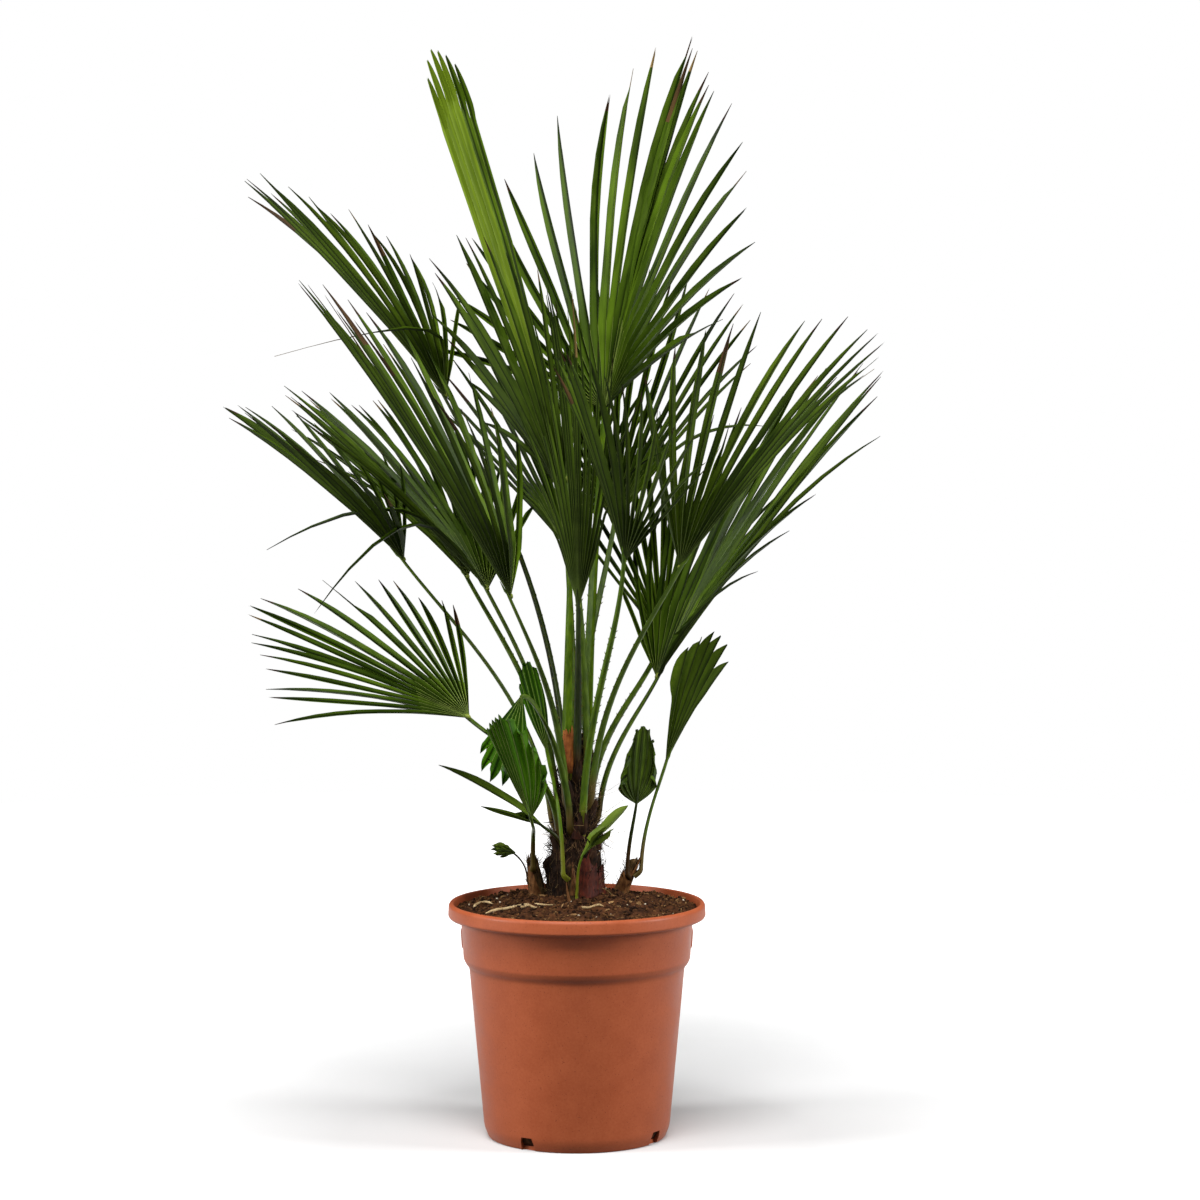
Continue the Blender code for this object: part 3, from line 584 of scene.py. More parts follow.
def leaflet_frame(row, t, s):
    """Place, unit vector ahead, side vector and upward normal on the fan's surface."""
    centre = fan_point(row, t, s)
    along = unit(fan_point(row, t, s + SLOPE_STEP) - centre)
    side = fan_point(row, t + SLOPE_STEP, s) - fan_point(row, t - SLOPE_STEP, s)
    side = unit(side - along * (side * along).sum(-1, keepdims=True))
    return centre, along, side, np.cross(side, along)


def ridge(row, t, s, step):
    """The pleat's ridge between two leaflets, as high as half a leaflet is wide times the
    pleat's slope."""
    centre, _, _, up = leaflet_frame(row, t, s)
    wide = np.linalg.norm(fan_point(row, t + step, s) - centre, axis=-1, keepdims=True)
    return centre + up * np.tan(np.radians(row["pleat"])) * wide


def dot(a, b):
    """Dot product of vectors."""
    return (a * b).sum(-1)


def leaflet_rings(row, rng):
    """Four corners at each station of every leaflet of a fan: left edge, top of the rib, right
    edge, underside of the rib. Where leaflets are joined their edges are the pleats' ridges.
    Past that the half width is the spacing there times (1 + swell u)(1 - u^taper), the edges
    rise off the rib by the leaf's slope, and the leaflet bends, droops and twists a little with
    the square of u. Some leaflets end in two short points."""
    count = round(row["finer"] * row["leaflets"])
    step = 1.0 / (count - 1)
    order = np.arange(count)[:, None]
    t = -1 + 2 * step * order
    split, blunt, parted = row["split"], row["blunt"], row["split"] * row["deep"]
    start = LEAF_START / fan_length(row, t)
    even = np.linspace(0, 1, 4 if row["split"] < 0.7 else 9)
    joins = len(even)
    joined = start + even * (parted - start)
    short = 1 - 0.06 * rng.random((count, 1)) ** 2
    s = np.concatenate([joined, parted + (1 - parted) * short * FREE], axis=1)
    u = np.concatenate([0 * even, FREE])
    centre, _, side, up = leaflet_frame(row, t, s)
    side_push = rng.normal(0, SIDE_SCATTER, (count, 1)) * row["loose"]
    up_push = rng.normal(HANG, UP_SCATTER, (count, 1)) * row["loose"]
    for i, (sideways, outwards) in row["strays"].items():
        there = -1 + 2 * i / (row["leaflets"] - 1)
        nearest = np.argmin(np.abs(t[:, 0] - there))
        side_push[nearest] = sideways
        up_push[nearest] = outwards
    free = np.maximum(s - split, 0) / (1 - split)
    grown = (free**2 * row["reach"] * (1 - split))[..., None]
    centre = centre + grown * (side_push[..., None] * side + up_push[..., None] * up)
    ease = np.clip(u / EASE, 0, 1)
    ease = (ease * ease * (3 - 2 * ease))[None]
    centre = centre + (STACK * (order % 3 - 1) * ease)[..., None] * up
    along = unit(np.gradient(centre, axis=1))
    side = unit(side - along * dot(side, along)[..., None])
    up = np.cross(side, along)
    twist = (rng.normal(0, TWIST_SCATTER, (count, 1)) * row["loose"] * u)[..., None]
    side, up = np.cos(twist) * side + np.sin(twist) * up, np.cos(twist) * up - np.sin(twist) * side
    spread = np.radians(np.where(t < 0, *row["spread"])) * (1 - row["close"] * parted)
    natural = fan_length(row, t) * parted * spread * step * row["wide"]
    form = (1 + row["swell"] * u) * (1 - (1 - blunt) * u ** row["taper"])
    slope = np.tan(np.radians(LEAF_SLOPE + 10 * (rng.random((count, 1)) - 0.5) * u))
    forked = rng.random(count) < FORKED
    torn = rng.choice((-1, 1), (count, 1)) * (rng.random((count, 1)) < TORN)
    tear = u >= rng.choice(FREE[5:8], (count, 1))
    edges = []
    for sign in (-1, 1):
        fold = ridge(row, t + sign * step, joined, step)
        away = fold - centre[:, :joins]
        beside = np.maximum(sign * dot(away, side[:, :joins])[:, -1:], 0.25 * natural)
        rise = np.clip(dot(away, up[:, :joins])[:, -1:] / beside, -1.5, 1.5)
        wide = ((1 - ease) * beside + ease * natural) * form
        wide = np.where(tear & (torn == sign), TORN_WIDTH * wide, wide)
        wide[:, -1] = np.maximum(wide[:, -1], np.where(forked, 0.10 * natural[:, 0], POINT_WIDTH))
        lift = ((1 - ease) * rise + ease * slope) * wide
        edge = centre + sign * wide[..., None] * side + lift[..., None] * up
        edge[:, :joins] = fold
        edges.append(edge)
    left, right = edges
    thick = (0.5 * RIB_THICKNESS * (1 - 0.6 * u))[:, None]
    top, under = centre + thick * up, centre - thick * up
    notch = np.where(forked | (blunt > 0), rng.uniform(0.25, 0.6, count), 0.0)[:, None]
    top[:, -1] -= notch * (top[:, -1] - top[:, -2])
    under[:, -1] -= notch * (under[:, -1] - under[:, -2])
    rings = np.stack([left, top, right, under], axis=2)
    flank = np.linalg.norm(right - centre, axis=-1)
    flat = np.stack([-flank, 0 * flank, flank, 0 * flank, -flank], axis=-1)
    return rings, flat, centre, up, u, joins


TIP_FROM = -2            # station at which a coloured tip begins
LONG_TIP_FROM = -4       # the same on a leaflet that has dried further down
LONG_TIPS = 0.12         # share of the coloured tips that are long
COLOURED_TIPS = 0.62     # share of leaflets with one
STRAW_TIPS = 0.2         # share of the coloured tips that are bleached, not brown
TOP_AND_UNDER = (0, 0, 1, 1)

# Each tint: its name, the upper face's dark and light, the underside's dark and light, and the
# strength of the painted shade along the fold
LEAF_TINTS = {
    "deep": ("deep green", "142403", "435A0E", "1E2E07", "4C6216", 0.90),
    "mid": ("mid green", "1E2E05", "526C10", "283A09", "5A7218", 0.90),
    "fresh": ("fresh green", "183602", "406E06", "244A05", "4C760E", 0.75),
    "young": ("young green", "40540A", "6A801C", "485C10", "728630", 0.25),
}
TIP_TINTS = {
    "brown": ("dried leaflet tip", "2E1E12", "5A4426", 0.55),
    "straw": ("bleached leaflet tip", "7A6238", "A98F5C", 0.6),
}


def leaf_faces(kind, dark, light, under_dark, under_light, shade):
    """The upper face, and the underside, which is greyer and less glossy."""
    return [
        leaf_blade(kind + " palm leaflet, upper face", dark, light, shade=shade),
        leaf_blade(kind + " palm leaflet, underside", under_dark, under_light, 0.52, 0.25, shade),
    ]


def make_leaflets():
    """All fans, joined by tint, each leaflet dealt to its fan's tint or to the fan's other one.
    The coloured tips, short or long, the ribs and the pale seams between joined leaflets, which
    are partly painted highlight on the ridges there, are pieces of their own."""
    rng = np.random.default_rng(41)
    blades = {tint: Batch() for tint in LEAF_TINTS}
    nodes = {tint: [] for tint in LEAF_TINTS}
    tips = {kind: Batch() for kind in TIP_TINTS}
    ribs, seams = Batch(), Batch()
    for row in LARGE + SMALL:
        rings, flat, centre, up, u, joins = leaflet_rings(row, rng)
        count = len(rings)
        shift = rng.uniform(0, 40, count)
        plain = row["reach"] < SMALL_FAN or row["tint"] == "young"
        coloured = rng.random(count) < (0.0 if plain else COLOURED_TIPS)
        straw = rng.random(count) < STRAW_TIPS
        long = rng.random(count) < LONG_TIPS
        nodes[row["tint"]].append(row["name"] + "_blade")
        tint, where, width, share = row["other"]
        share = 0.0 if row["tint"] == "fresh" else share
        swapped = (np.abs(np.linspace(-1, 1, count) - where) < width) & (rng.random(count) < share)
        for batch, dealt in ((blades[row["tint"]], ~swapped), (blades[tint], swapped)):
            for begin in (None, TIP_FROM, LONG_TIP_FROM):
                chosen = dealt & (~coloured if begin is None else
                                  coloured & (long if begin == LONG_TIP_FROM else ~long))
                if not chosen.any():
                    continue
                end = None if begin is None else begin + 1
                batch.skin(rings[chosen][:, :end], flat[chosen][:, :end], shift[chosen],
                           TOP_AND_UNDER)
                for name, kept in (("brown", chosen & ~straw), ("straw", chosen & straw)):
                    if begin is not None and kept.any():
                        tips[name].skin(rings[kept][:, begin:], flat[kept][:, begin:], shift[kept])
        bar = RIB_RADIUS * (1 - 0.7 * u[:-2])
        path = centre[:, :-2] - RIB_SUNK * up[:, :-2]
        thin = np.broadcast_to(bar, path.shape[:2])
        ribs.skin(tubes(path, thin, up[:, :-2], 4))
        # Pale seam lines on each ridge between joined leaflets, partly painted ridge highlight
        crest = rings[1:, :joins, 0] + SEAM_AND_HIGHLIGHT_RAISED * up[1:, :joins]
        seams.skin(tubes(crest, np.full(crest.shape[:2], SEAM_AND_HIGHLIGHT_RADIUS), up[1:, :joins], 4))
    for tint, batch in blades.items():
        slot = "young_leaf" if tint in ("fresh", "young") else "leaf"
        batch.piece("leaflets_" + tint, leaf_faces(*LEAF_TINTS[tint]), slot, nodes[tint])
    for kind, batch in tips.items():
        # The tips carry the painted fold shade too, at leaf_blade's default strength
        batch.piece("leaflet_tips_" + kind, [leaf_blade(*TIP_TINTS[kind])], "leaf")
    rib = stalk_skin("leaflet rib", "2E3C10", "4C5C20", 0.5)
    ribs.piece("leaflet_ribs", [rib], "leaf", sharp=60.0)
    seam = stalk_skin("pale seam between leaflets", "56682A", "7E8E40", 0.5)
    seams.piece("leaflet_seams_and_ridge_highlights", [seam], "leaf", sharp=60.0)


# Petioles

STALK_TINTS = {
    "bright": ("344E06", "58720F", "66681A"),
    "green": ("2A3E08", "506618", "503C1C"),
    # The dark tint serves partly as painted shade, for a stalk that stands among the others under
    # the crown
    "dark": ("141E06", "2E3A10", "3A2412"),
}
BURIED = 6               # a petiole's stations inside its stem,
FREE_STALK = 26          # in the open,
TAIL = 3                 # and under its blade
THIN_STALK = 0.004       # a petiole with less radius starts nearer to the stem's skin
STALK_CORNERS = 12
THORN_SPACING = 0.0110
THORNS_KEPT = 0.85       # share of the places that carry a thorn
THORNS_UP_TO = 0.72      # share of the free stalk that has them


def stem_axis(height):
    """The main stem's centre at a height above the soil."""
    share = np.maximum(0.0, height - STEM_RADII[1][0]) / STEM_RADII[-1][0]
    x, y = between(STEM_X, STEM_TOP_X, share), between(STEM_Y, STEM_TOP_Y, share)
    return np.stack([x, y, SOIL_TOP + height], axis=-1)


def stem_radius(height):
    """The main stem's radius by its table."""
    return np.interp(height, *zip(*STEM_RADII))


def carrier(row):
    """Centre and radius of the stem where a petiole leaves it."""
    if row["stem"] == "main_stem":
        return stem_axis(np.float64(row["start"])), stem_radius(row["start"])
    foot, top, r_foot, r_top = SHOOTS[row["stem"]]
    low = np.array([*foot, SOIL_TOP])
    share = min(1.0, row["start"] / (top[2] - low[2]))
    return between(low, np.array(top), share), between(r_foot, r_top, share)


def petiole_path(row):
    """The source's cubic curve from the stem's side into the blade's own direction, with a
    root that starts inside the stem and a tail that runs out under the blade. Also the radius
    and the direction of the channelled face: inwards at the foot, the blade's face at the tip."""
    centre, stem_r = carrier(row)
    ahead, _, face = fan_axes(row)
    hub = row["hub"] + ahead * (HUB_ARC - row["gap"])
    out = hub - centre
    angle = np.arctan2(out[1], out[0]) + np.radians(row["leave"])
    off = np.array([np.cos(angle), np.sin(angle), 0.0])
    base = centre + (stem_r + row["radius"]) * off
    span = np.linalg.norm(hub - base)
    way = (hub - base) / span
    first = base + row["rise"] * span * (np.array([0, 0, 0.9]) + 0.25 * way)
    t = np.linspace(0, 1, FREE_STALK)[:, None]
    curve = bezier(base, first, hub - 0.15 * span * (ahead + way), hub, t)
    inward, deep = (0.2, 0.012) if row["radius"] < THIN_STALK else (0.45, 0.024)
    root = centre + inward * stem_r * off - (0, 0, deep)
    r = np.linspace(0, 1, BURIED + 1)[:-1, None]
    up = unit(first - base)
    buried = bezier(root, root + 0.5 * (base - root) + 0.004 * off, base - 0.008 * up, base, r)
    tail = hub + ahead * np.array([0.004, 0.009, 0.015])[:, None] - face * 0.0012
    path = np.concatenate([buried, curve, tail])
    share = np.concatenate([0 * r[:, 0], t[:, 0], np.ones(TAIL)])
    radius = row["radius"] * (1 - PETIOLE_NARROWING * share)
    radius[:BURIED] *= 1 + 0.45 * np.sin(np.pi * r[:, 0] / 2)[::-1]
    radius[-TAIL:] *= (0.8, 0.5, 0.15)
    blend = (share**1.5)[:, None]
    return path, radius, unit((1 - blend) * -off + blend * face)


def make_petioles():
    """Channelled stalks joined by tint. The large ones have thorns along both edges, leaning
    towards the blade, and a pale crest where the blade begins."""
    rng = np.random.default_rng(7)
    stalks = {tint: Batch() for tint in STALK_TINTS}
    nodes = {tint: [] for tint in STALK_TINTS}
    thorns, crests = Batch(), Batch()
    for row in LARGE + SMALL:
        path, radius, channel = petiole_path(row)
        rings = tubes(path[None], radius[None], channel[None], STALK_CORNERS, channelled_section)
        stalks[row["stalk"]].skin(rings, shift=float(rng.integers(0, 40)))
        nodes[row["stalk"]].append(row["name"] + "_petiole")
        if row["reach"] < SMALL_FAN:
            continue
        ahead, _, face = fan_axes(row)
        crest = row["hub"] + face * 0.0008 + ahead * np.linspace(-0.002, 0.006, 5)[:, None]
        swell = radius[-1 - TAIL] * np.array([0.25, 0.75, 0.85, 0.6, 0.15])
        crests.skin(tubes(crest[None], swell[None], face, 8))
        along = unit(np.gradient(path, axis=0))
        beside = np.cross(channel, along)
        length = path_length(path)
        last = between(length[BURIED], length[-1 - TAIL], THORNS_UP_TO)
        edges = np.arange(length[BURIED + 1], last, THORN_SPACING)
        for sign in (-1, 1):
            at = edges + rng.uniform(-0.003, 0.003, len(edges))
            at = at[rng.random(len(at)) < THORNS_KEPT]
            spot, outward, onward, wide = sample(at, length, path, beside, along, radius[:, None])
            outward, onward = unit(outward) * sign, unit(onward)
            long = rng.uniform(0.0012, 0.0028, (len(at), 1, 1))
            reach = np.array([-0.15, 0.0, 0.55, 1.0])[None, :, None]
            curve = (spot + outward * wide * 0.92)[:, None] + long * (
                reach * outward[:, None] * 0.75 + np.maximum(reach, 0) ** 1.4 * onward[:, None])
            thin = np.array([0.0009, 0.0008, 0.0004, 0.0001])[None] * np.ones((len(at), 1))
            thorns.skin(tubes(curve, thin, np.array([0.1, 0.2, 1.0]), 4))
    for tint, batch in stalks.items():
        dark, light, foot = STALK_TINTS[tint]
        skin = stalk_skin(tint + " waxy petiole", dark, light, foot=foot)
        batch.piece("petioles_" + tint, [skin], "petiole", nodes[tint], 50.0)
    thorn = stalk_skin("woody thorn", "4A4A16", "6E6828", 0.5)
    thorns.piece("petiole_thorns", [thorn], "petiole", sharp=70.0)
    crest = stalk_skin("pale crest at the blade's foot", "5E7020", "868E3C")
    crests.piece("blade_crests", [crest], "petiole", sharp=60.0)


# Stem

OLD_BASES = 26           # old leaf bases up the stem,
BASE_FIRST = 0.016       # the height of the lowest one's upper edge,
BASE_RISE = 0.0062       # how much higher the next one's is,
BASE_TALL = 0.026        # how tall each is,
BASE_DEPTH = 0.0036      # and how far it stands off
STUBS = 17
STUB_FIRST = 0.022
STUB_RISE = 0.0074
SHEATH_TINTS = {
    "red": ("red papery leaf base", "260B05", "521E0F", 0.55, 420.0),
    "brown": ("brown fibrous leaf base", "100703", "36210F", 0.8, 420.0),
    "orange": ("orange papery leaf base", "6A3416", "A86430", 0.6, 420.0),
}
# Strands to each tint, their dark and light colour, and their disorder
FIBRE_TINTS = {
    "dark": (1000, "080402", "1E130B", 0.6),
    "brown": (900, "352415", "6C5236", 0.6),
    "pale": (130, "6A5436", "9C8256", 0.9),
}


def stem_relief(height, angle):
    """How far the stem's surface stands off its table's radius. Each old leaf base is a shield
    that rises evenly to its top and ends there in a step, a golden angle from the last.
    Lengthwise ridges of fibre run over all of it, and it is waisted below the petioles."""
    k = np.arange(OLD_BASES)[:, None, None]
    top = BASE_FIRST + BASE_RISE * k
    turn = (angle - k * GOLDEN_ANGLE + np.pi) % (2 * np.pi) - np.pi
    radius = stem_radius(top)
    x = turn * radius / (0.62 * radius + 0.003)
    y = (height - top) / BASE_TALL
    rise = np.clip(1 + y, 0, 1) * np.clip(-y / 0.06 + 0.2, 0, 1)
    shield = np.sqrt(np.clip(1 - x * x, 0, 1)) * rise
    relief = BASE_DEPTH * shield.max(axis=0)
    fibre = np.sin(31 * angle + 190 * height) + np.sin(47 * angle - 150 * height + 1.3)
    fibre = fibre + 0.7 * np.sin(83 * angle + 320 * height + 2.1)
    waist = np.interp(height, (0.04, 0.08, 0.12, 0.14), (0, 0.0035, 0.0030, 0))
    return relief * np.interp(height, (0, 0.12, 0.172), (1, 0.8, 0.3)) + 0.00035 * fibre - waist


def make_stem_core():
    """The stem as a grid of height and angle: the table's radius plus the relief."""
    height = np.linspace(-0.004, STEM_RADII[-1][0], 120)
    angle = circle(132)
    radius = stem_radius(height[:, None]) + stem_relief(height[:, None], angle[None])
    rings = stem_axis(height)[:, None] + radius[..., None] * around(angle[None])
    bark = dry_fibre("old leaf-base bark", "0A0402", "2C1A0C")
    Batch().skin(rings[None]).piece("stem_core", [bark], "bark", ["main_stem"], 60.0)


def stem_spot(height, angle, off=0.0):
    """A point on the stem's surface, off it by so many metres, and the outward vector there."""
    out = around(angle)
    radius = stem_radius(height) + off
    return stem_axis(height) + radius[..., None] * out, out


def make_stubs(rng):
    """Old petioles broken off short, a golden angle apart, each a channelled stub that leans
    off the stem and ends ragged."""
    k = np.arange(STUBS)
    height = STUB_FIRST + STUB_RISE * k
    angle = k * GOLDEN_ANGLE + 0.6
    spot, out = stem_spot(height, angle, -0.004)
    long = rng.uniform(0.016, 0.028, len(k))[:, None, None]
    lean = rng.uniform(0.18, 0.42, len(k))[:, None, None]
    share = np.linspace(0, 1, 7)[None, :, None]
    path = spot[:, None] - (0, 0, 0.010) + long * (
        share * UP + lean * share**1.5 * out[:, None] + 0.10 * share * out[:, None])
    wide = np.interp(height, (0, 0.16), (0.0085, 0.0040))[:, None]
    radii = wide * np.array([1.25, 1.2, 1.1, 1.0, 0.92, 0.85, 0.6])[None]
    rings = tubes(path, radii, -out[:, None], STALK_CORNERS, channelled_section)
    rings[:, -2:, :, 2] += rng.uniform(-0.0035, 0.0035, rings[:, -2:, :, 2].shape)
    red = rng.random(len(k)) < 0.25
    for name, chosen, dark, light in (
        ("stem_stubs_dark", ~red, "100803", "342012"), ("stem_stubs_red", red, "1E0D07", "3E1E12")
    ):
        stub = dry_fibre(name.replace("_", " "), dark, light, 0.8, 500.0)
        Batch().skin(rings[chosen]).piece(name, [stub], "bark", sharp=50.0)


def shield_rings(angle, low, high, half_width, lift, rng, narrow=0.5):
    """A leaf base that hugs the stem: a curved plate from the height low to high, narrowing
    upwards, 0.8 mm thick, its upper edge ragged. Rows of height, and columns of angle out
    along the outer face and back along the inner one."""
    share = np.linspace(0, 1, 16)[:, None]
    column = np.linspace(-1, 1, 12)[None]
    top = high + rng.uniform(-0.006, 0.006, column.shape)
    height = between(low, top, share)
    radius = stem_radius(height) + lift + 0.0015 * share
    turn = angle + half_width * (1 - narrow * share**1.5) / radius * column
    swell = 0.0012 * (1 - column**2)
    faces = [stem_axis(height) + (radius + swell + off)[..., None] * around(turn)
             for off in (0.0008, 0.0)]
    return plate(*faces)


def make_sheaths(rng):
    """Papery leaf bases: two smooth red ones low on the stem, brown ones that clasp the feet of
    four petioles, and orange ones behind the stem's top and on the youngest petiole."""
    batches = {tint: Batch() for tint in SHEATH_TINTS}
    red, brown, orange = batches.values()
    red.skin(shield_rings(np.radians(-62), 0.000, 0.046, 0.016, 0.0026, rng))
    red.skin(shield_rings(np.radians(-20), 0.000, 0.030, 0.012, 0.0022, rng))
    for row, low in zip(LARGE[1:5], (-0.030, -0.034, -0.030, -0.016)):
        brown.skin(clasp_rings(row, low, 0.004, rng.uniform(-0.5, 0.5), 1.6, rng, 0.008))
    orange.skin(shield_rings(np.radians(100), 0.120, 0.168, 0.010, 0.0035, rng, 0.35))
    orange.skin(clasp_rings(LARGE[0], -0.020, 0.028, 0.75, 1.15, rng))
    for tint, batch in batches.items():
        batch.piece("stem_sheaths_" + tint, [dry_fibre(*SHEATH_TINTS[tint])], "bark", sharp=50.0)


def clasp_rings(row, low, high, turn, half, rng, ragged=0.005):
    """A papery base that clasps a petiole's back: half a tube round its path from low to high,
    in metres from where it leaves the stem, 0.8 mm thick and ragged at its upper edge."""
    path, radius, channel = petiole_path(row)
    along = unit(np.gradient(path, axis=0))
    length = path_length(path)
    share = np.linspace(0, 1, 14)
    at = length[BURIED] + low + share * (high - low)
    read = sample(at, length, path, along, channel, np.cross(channel, along), radius[:, None])
    spot, along, channel, beside, wide = (table[:, None] for table in read)
    column = np.linspace(-1, 1, 12)[None, :, None]
    share = share[:, None, None]
    angle = turn + half * column * (1 - 0.3 * share**2)
    out = -np.cos(angle) * channel + np.sin(angle) * beside
    spot = spot + share**2 * rng.uniform(-ragged, ragged, (1, 12, 1)) * along
    faces = [spot + (0.97 * wide + off) * out for off in (0.0013, 0.0005)]
    return plate(*faces)


def strands(start, ahead, length, curl, thick, taper, rng):
    """Loose fibres: from start, ahead by the length, bent by curl along two random vectors
    that grow with the square and the sine of the way. thick is their radius, or its range, and
    taper gives the share of it at each station."""
    count = len(start)
    share = np.linspace(0, 1, len(taper))[None, :, None]
    bend = rng.normal(size=(count, 1, 3))
    wave = rng.normal(size=(count, 1, 3))
    loose = curl * (share**2 * bend + 0.35 * np.sin(np.pi * 1.5 * share) * wave)
    path = start[:, None] + length[:, None, None] * (share * ahead[:, None] + loose)
    if isinstance(thick, tuple):
        thick = rng.uniform(*thick, (count, 1))
    thin = thick * np.ones((count, 1)) * np.array(taper)
    return tubes(path, thin, unit(rng.normal(size=(count, 1, 3))))


SOFT_TAPER = (1.2, 1.0, 0.9, 0.75, 0.55, 0.25)
STIFF_TAPER = (1.3, 1.1, 0.9, 0.7, 0.45, 0.15)
EVEN_TAPER = (1.2, 1.0, 0.9, 0.8, 0.6, 0.3)
HAIR = 0.00022           # radius of the long curls and of the shoots' fibres


def make_fibres(rng):
    """The stem's shag: short strands that lie up and outwards all over it, in three tints. The
    dark ones are densest in front on the left and have stiff spikes among them, the brown ones
    half way up, and the pale ones have long curls among them."""
    for name, (count, dark, light, curl) in FIBRE_TINTS.items():
        height = rng.uniform(0.0, 0.165, count)
        if name == "brown":
            height = np.where(rng.random(count) < 0.45, rng.uniform(0.050, 0.092, count), height)
        angle = rng.uniform(0, 2 * np.pi, count)
        if name == "dark":
            leftwards = rng.random(count) < 0.35
            angle = np.where(leftwards, np.radians(rng.normal(-140, 25, count)), angle)
        spot, out = stem_spot(height, angle, stem_relief_at(height, angle) - 0.0005)
        lift = rng.uniform(0.1, 0.8, (count, 1))
        sideways = np.stack([-out[:, 1], out[:, 0], 0 * height], -1)
        swerve = rng.normal(0, 0.35, (count, 1)) * sideways
        upward = rng.choice((1.0, 1.0, -0.4), (count, 1)) * UP
        ahead = unit(upward + lift * out + swerve)
        length = rng.uniform(0.006, 0.017, count)
        long = rng.random(count) < 0.06
        length = np.where(long, length * 2.0, length)
        batch = Batch().skin(
            strands(spot, ahead, length, 0.25 * curl, (0.00016, 0.00034), SOFT_TAPER, rng))
        if name == "dark":
            batch.skin(spikes(rng))
        if name == "pale":
            batch.skin(curls(rng))
        fibre = dry_fibre(name + " leaf-base fibre", dark, light)
        batch.piece("stem_fibres_" + name, [fibre], "bark", sharp=80.0)


def stem_relief_at(height, angle):
    """The relief at scattered points, which the grid's function gives one by one."""
    return stem_relief(height[None, :], angle[None, :])[0]


def spikes(rng):
    """Stiff dark spikes, the broken bundles of old leaf bases, that stand off both edges."""
    count = 46
    height = rng.uniform(0.02, 0.155, count)
    angle = np.radians(np.where(rng.random(count) < 0.6, rng.normal(190, 22, count),
                                rng.normal(-10, 24, count)))
    spot, out = stem_spot(height, angle, -0.001)
    ahead = unit(out + np.array([0, 0, 0.5]) * rng.uniform(-0.3, 1.6, (count, 1)))
    length = rng.uniform(0.006, 0.014, count)
    return strands(spot, ahead, length, 0.12, (0.0005, 0.0009), STIFF_TAPER, rng)


def curls(rng):
    """Long pale fibres that curl off the stem's right side half way up."""
    count = 26
    height = rng.uniform(0.050, 0.110, count)
    angle = np.radians(rng.normal(-25, 30, count))
    spot, out = stem_spot(height, angle, 0.0)
    ahead = unit(out + np.array([0, 0, 0.8]) + 0.4 * rng.normal(size=(count, 3)))
    return strands(spot, ahead, rng.uniform(0.015, 0.034, count), 0.4, HAIR, EVEN_TAPER, rng)


def make_shoots(rng):
    """The side shoots: each a short stem with lengthwise ridges, swollen at its foot, wrapped
    in two torn sheaths, and beset with fibre."""
    bark, sheath, hair = Batch(), Batch(), Batch()
    for foot, top, r_foot, r_top in SHOOTS.values():
        low, top = np.array([*foot, SOIL_TOP - 0.004]), np.array(top)
        share, angle = np.linspace(0, 1, 26)[:, None], circle(36)[None]
        radius = between(r_foot, r_top, share)
        radius = radius * (1 + 0.18 * np.exp(-((share / 0.2) ** 2)) - 0.35 * (share > 0.97))
        wide = radius + (0.00035 * np.sin(9 * angle + 5 * share) + 0.0002 * np.sin(17 * angle))
        rings = between(low, top, share)[:, None] + wide[..., None] * around(angle + 0 * wide)
        bark.skin(rings[None])
        upward, column = np.linspace(0, 1, 12)[:, None], np.linspace(-1, 1, 14)[None]
        for turn, start, end in ((rng.uniform(0, 6), 0.0, 0.72), (rng.uniform(0, 6), 0.25, 1.0)):
            rows = np.linspace(start, end, 12)[:, None]
            rows = rows + upward * rng.uniform(-0.10, 0.10, column.shape)
            bearing = turn + 2.3 * (1 - 0.45 * upward) * column
            base = between(low, top, rows[..., None])
            flare = between(r_foot, r_top, rows) + 0.0006 + 0.0006 * rows**2
            faces = [base + (flare + off)[..., None] * around(bearing) for off in (0.0006, 0.0)]
            sheath.skin(plate(*faces))
        count = 90
        at = rng.uniform(0, 1, count)[:, None]
        out = around(rng.uniform(0, 2 * np.pi, count))
        spot = between(low, top, at) + (between(r_foot, r_top, at) + 0.0005) * out
        ahead = unit(out * 0.6 + UP)
        length = rng.uniform(0.005, 0.013, count)
        hair.skin(strands(spot, ahead, length, 0.2, HAIR, EVEN_TAPER, rng))
    skin = dry_fibre("side shoot bark", "2A1E10", "5C4526", 0.7)
    bark.piece("shoot_stems", [skin], "bark", list(SHOOTS), 50.0)
    paper = dry_fibre("side shoot papery sheath", "44260F", "7C5430", 0.6, 420.0)
    sheath.piece("shoot_sheaths", [paper], "bark", sharp=50.0)
    fibre = dry_fibre("side shoot fibre", "20160D", "4A3522")
    hair.piece("shoot_fibres", [fibre], "bark", sharp=80.0)


# Pot and soil


def rounded(corners):
    """A profile with rounded corners. A corner (radius, height, rounding) becomes a quadratic
    curve of six points, from its rounding before the corner to as far after it."""
    corners = np.array(corners)
    places, cut = corners[:, :2], corners[:, 2:]
    before = unit(np.diff(places, axis=0, prepend=2 * places[:1] - places[1:2]))
    after = unit(np.diff(places, axis=0, append=2 * places[-1:] - places[-2:-1]))
    t = np.linspace(0, 1, 6)[None, :, None]
    start, end = (places - cut * before)[:, None], (places + cut * after)[:, None]
    curve = (1 - t) ** 2 * start + 2 * t * (1 - t) * places[:, None] + t * t * end
    curve = curve.reshape(-1, 2)
    moved = np.linalg.norm(np.diff(curve, axis=0, prepend=-1), axis=1) > 1e-6
    return curve[moved]


def lathe(profile, segments):
    """Rings of a profile of (radius, height) turned about Z."""
    radius, height = profile[:, 0, None, None], profile[:, 1, None, None]
    return (radius * around(circle(segments)) + height * UP)[None]


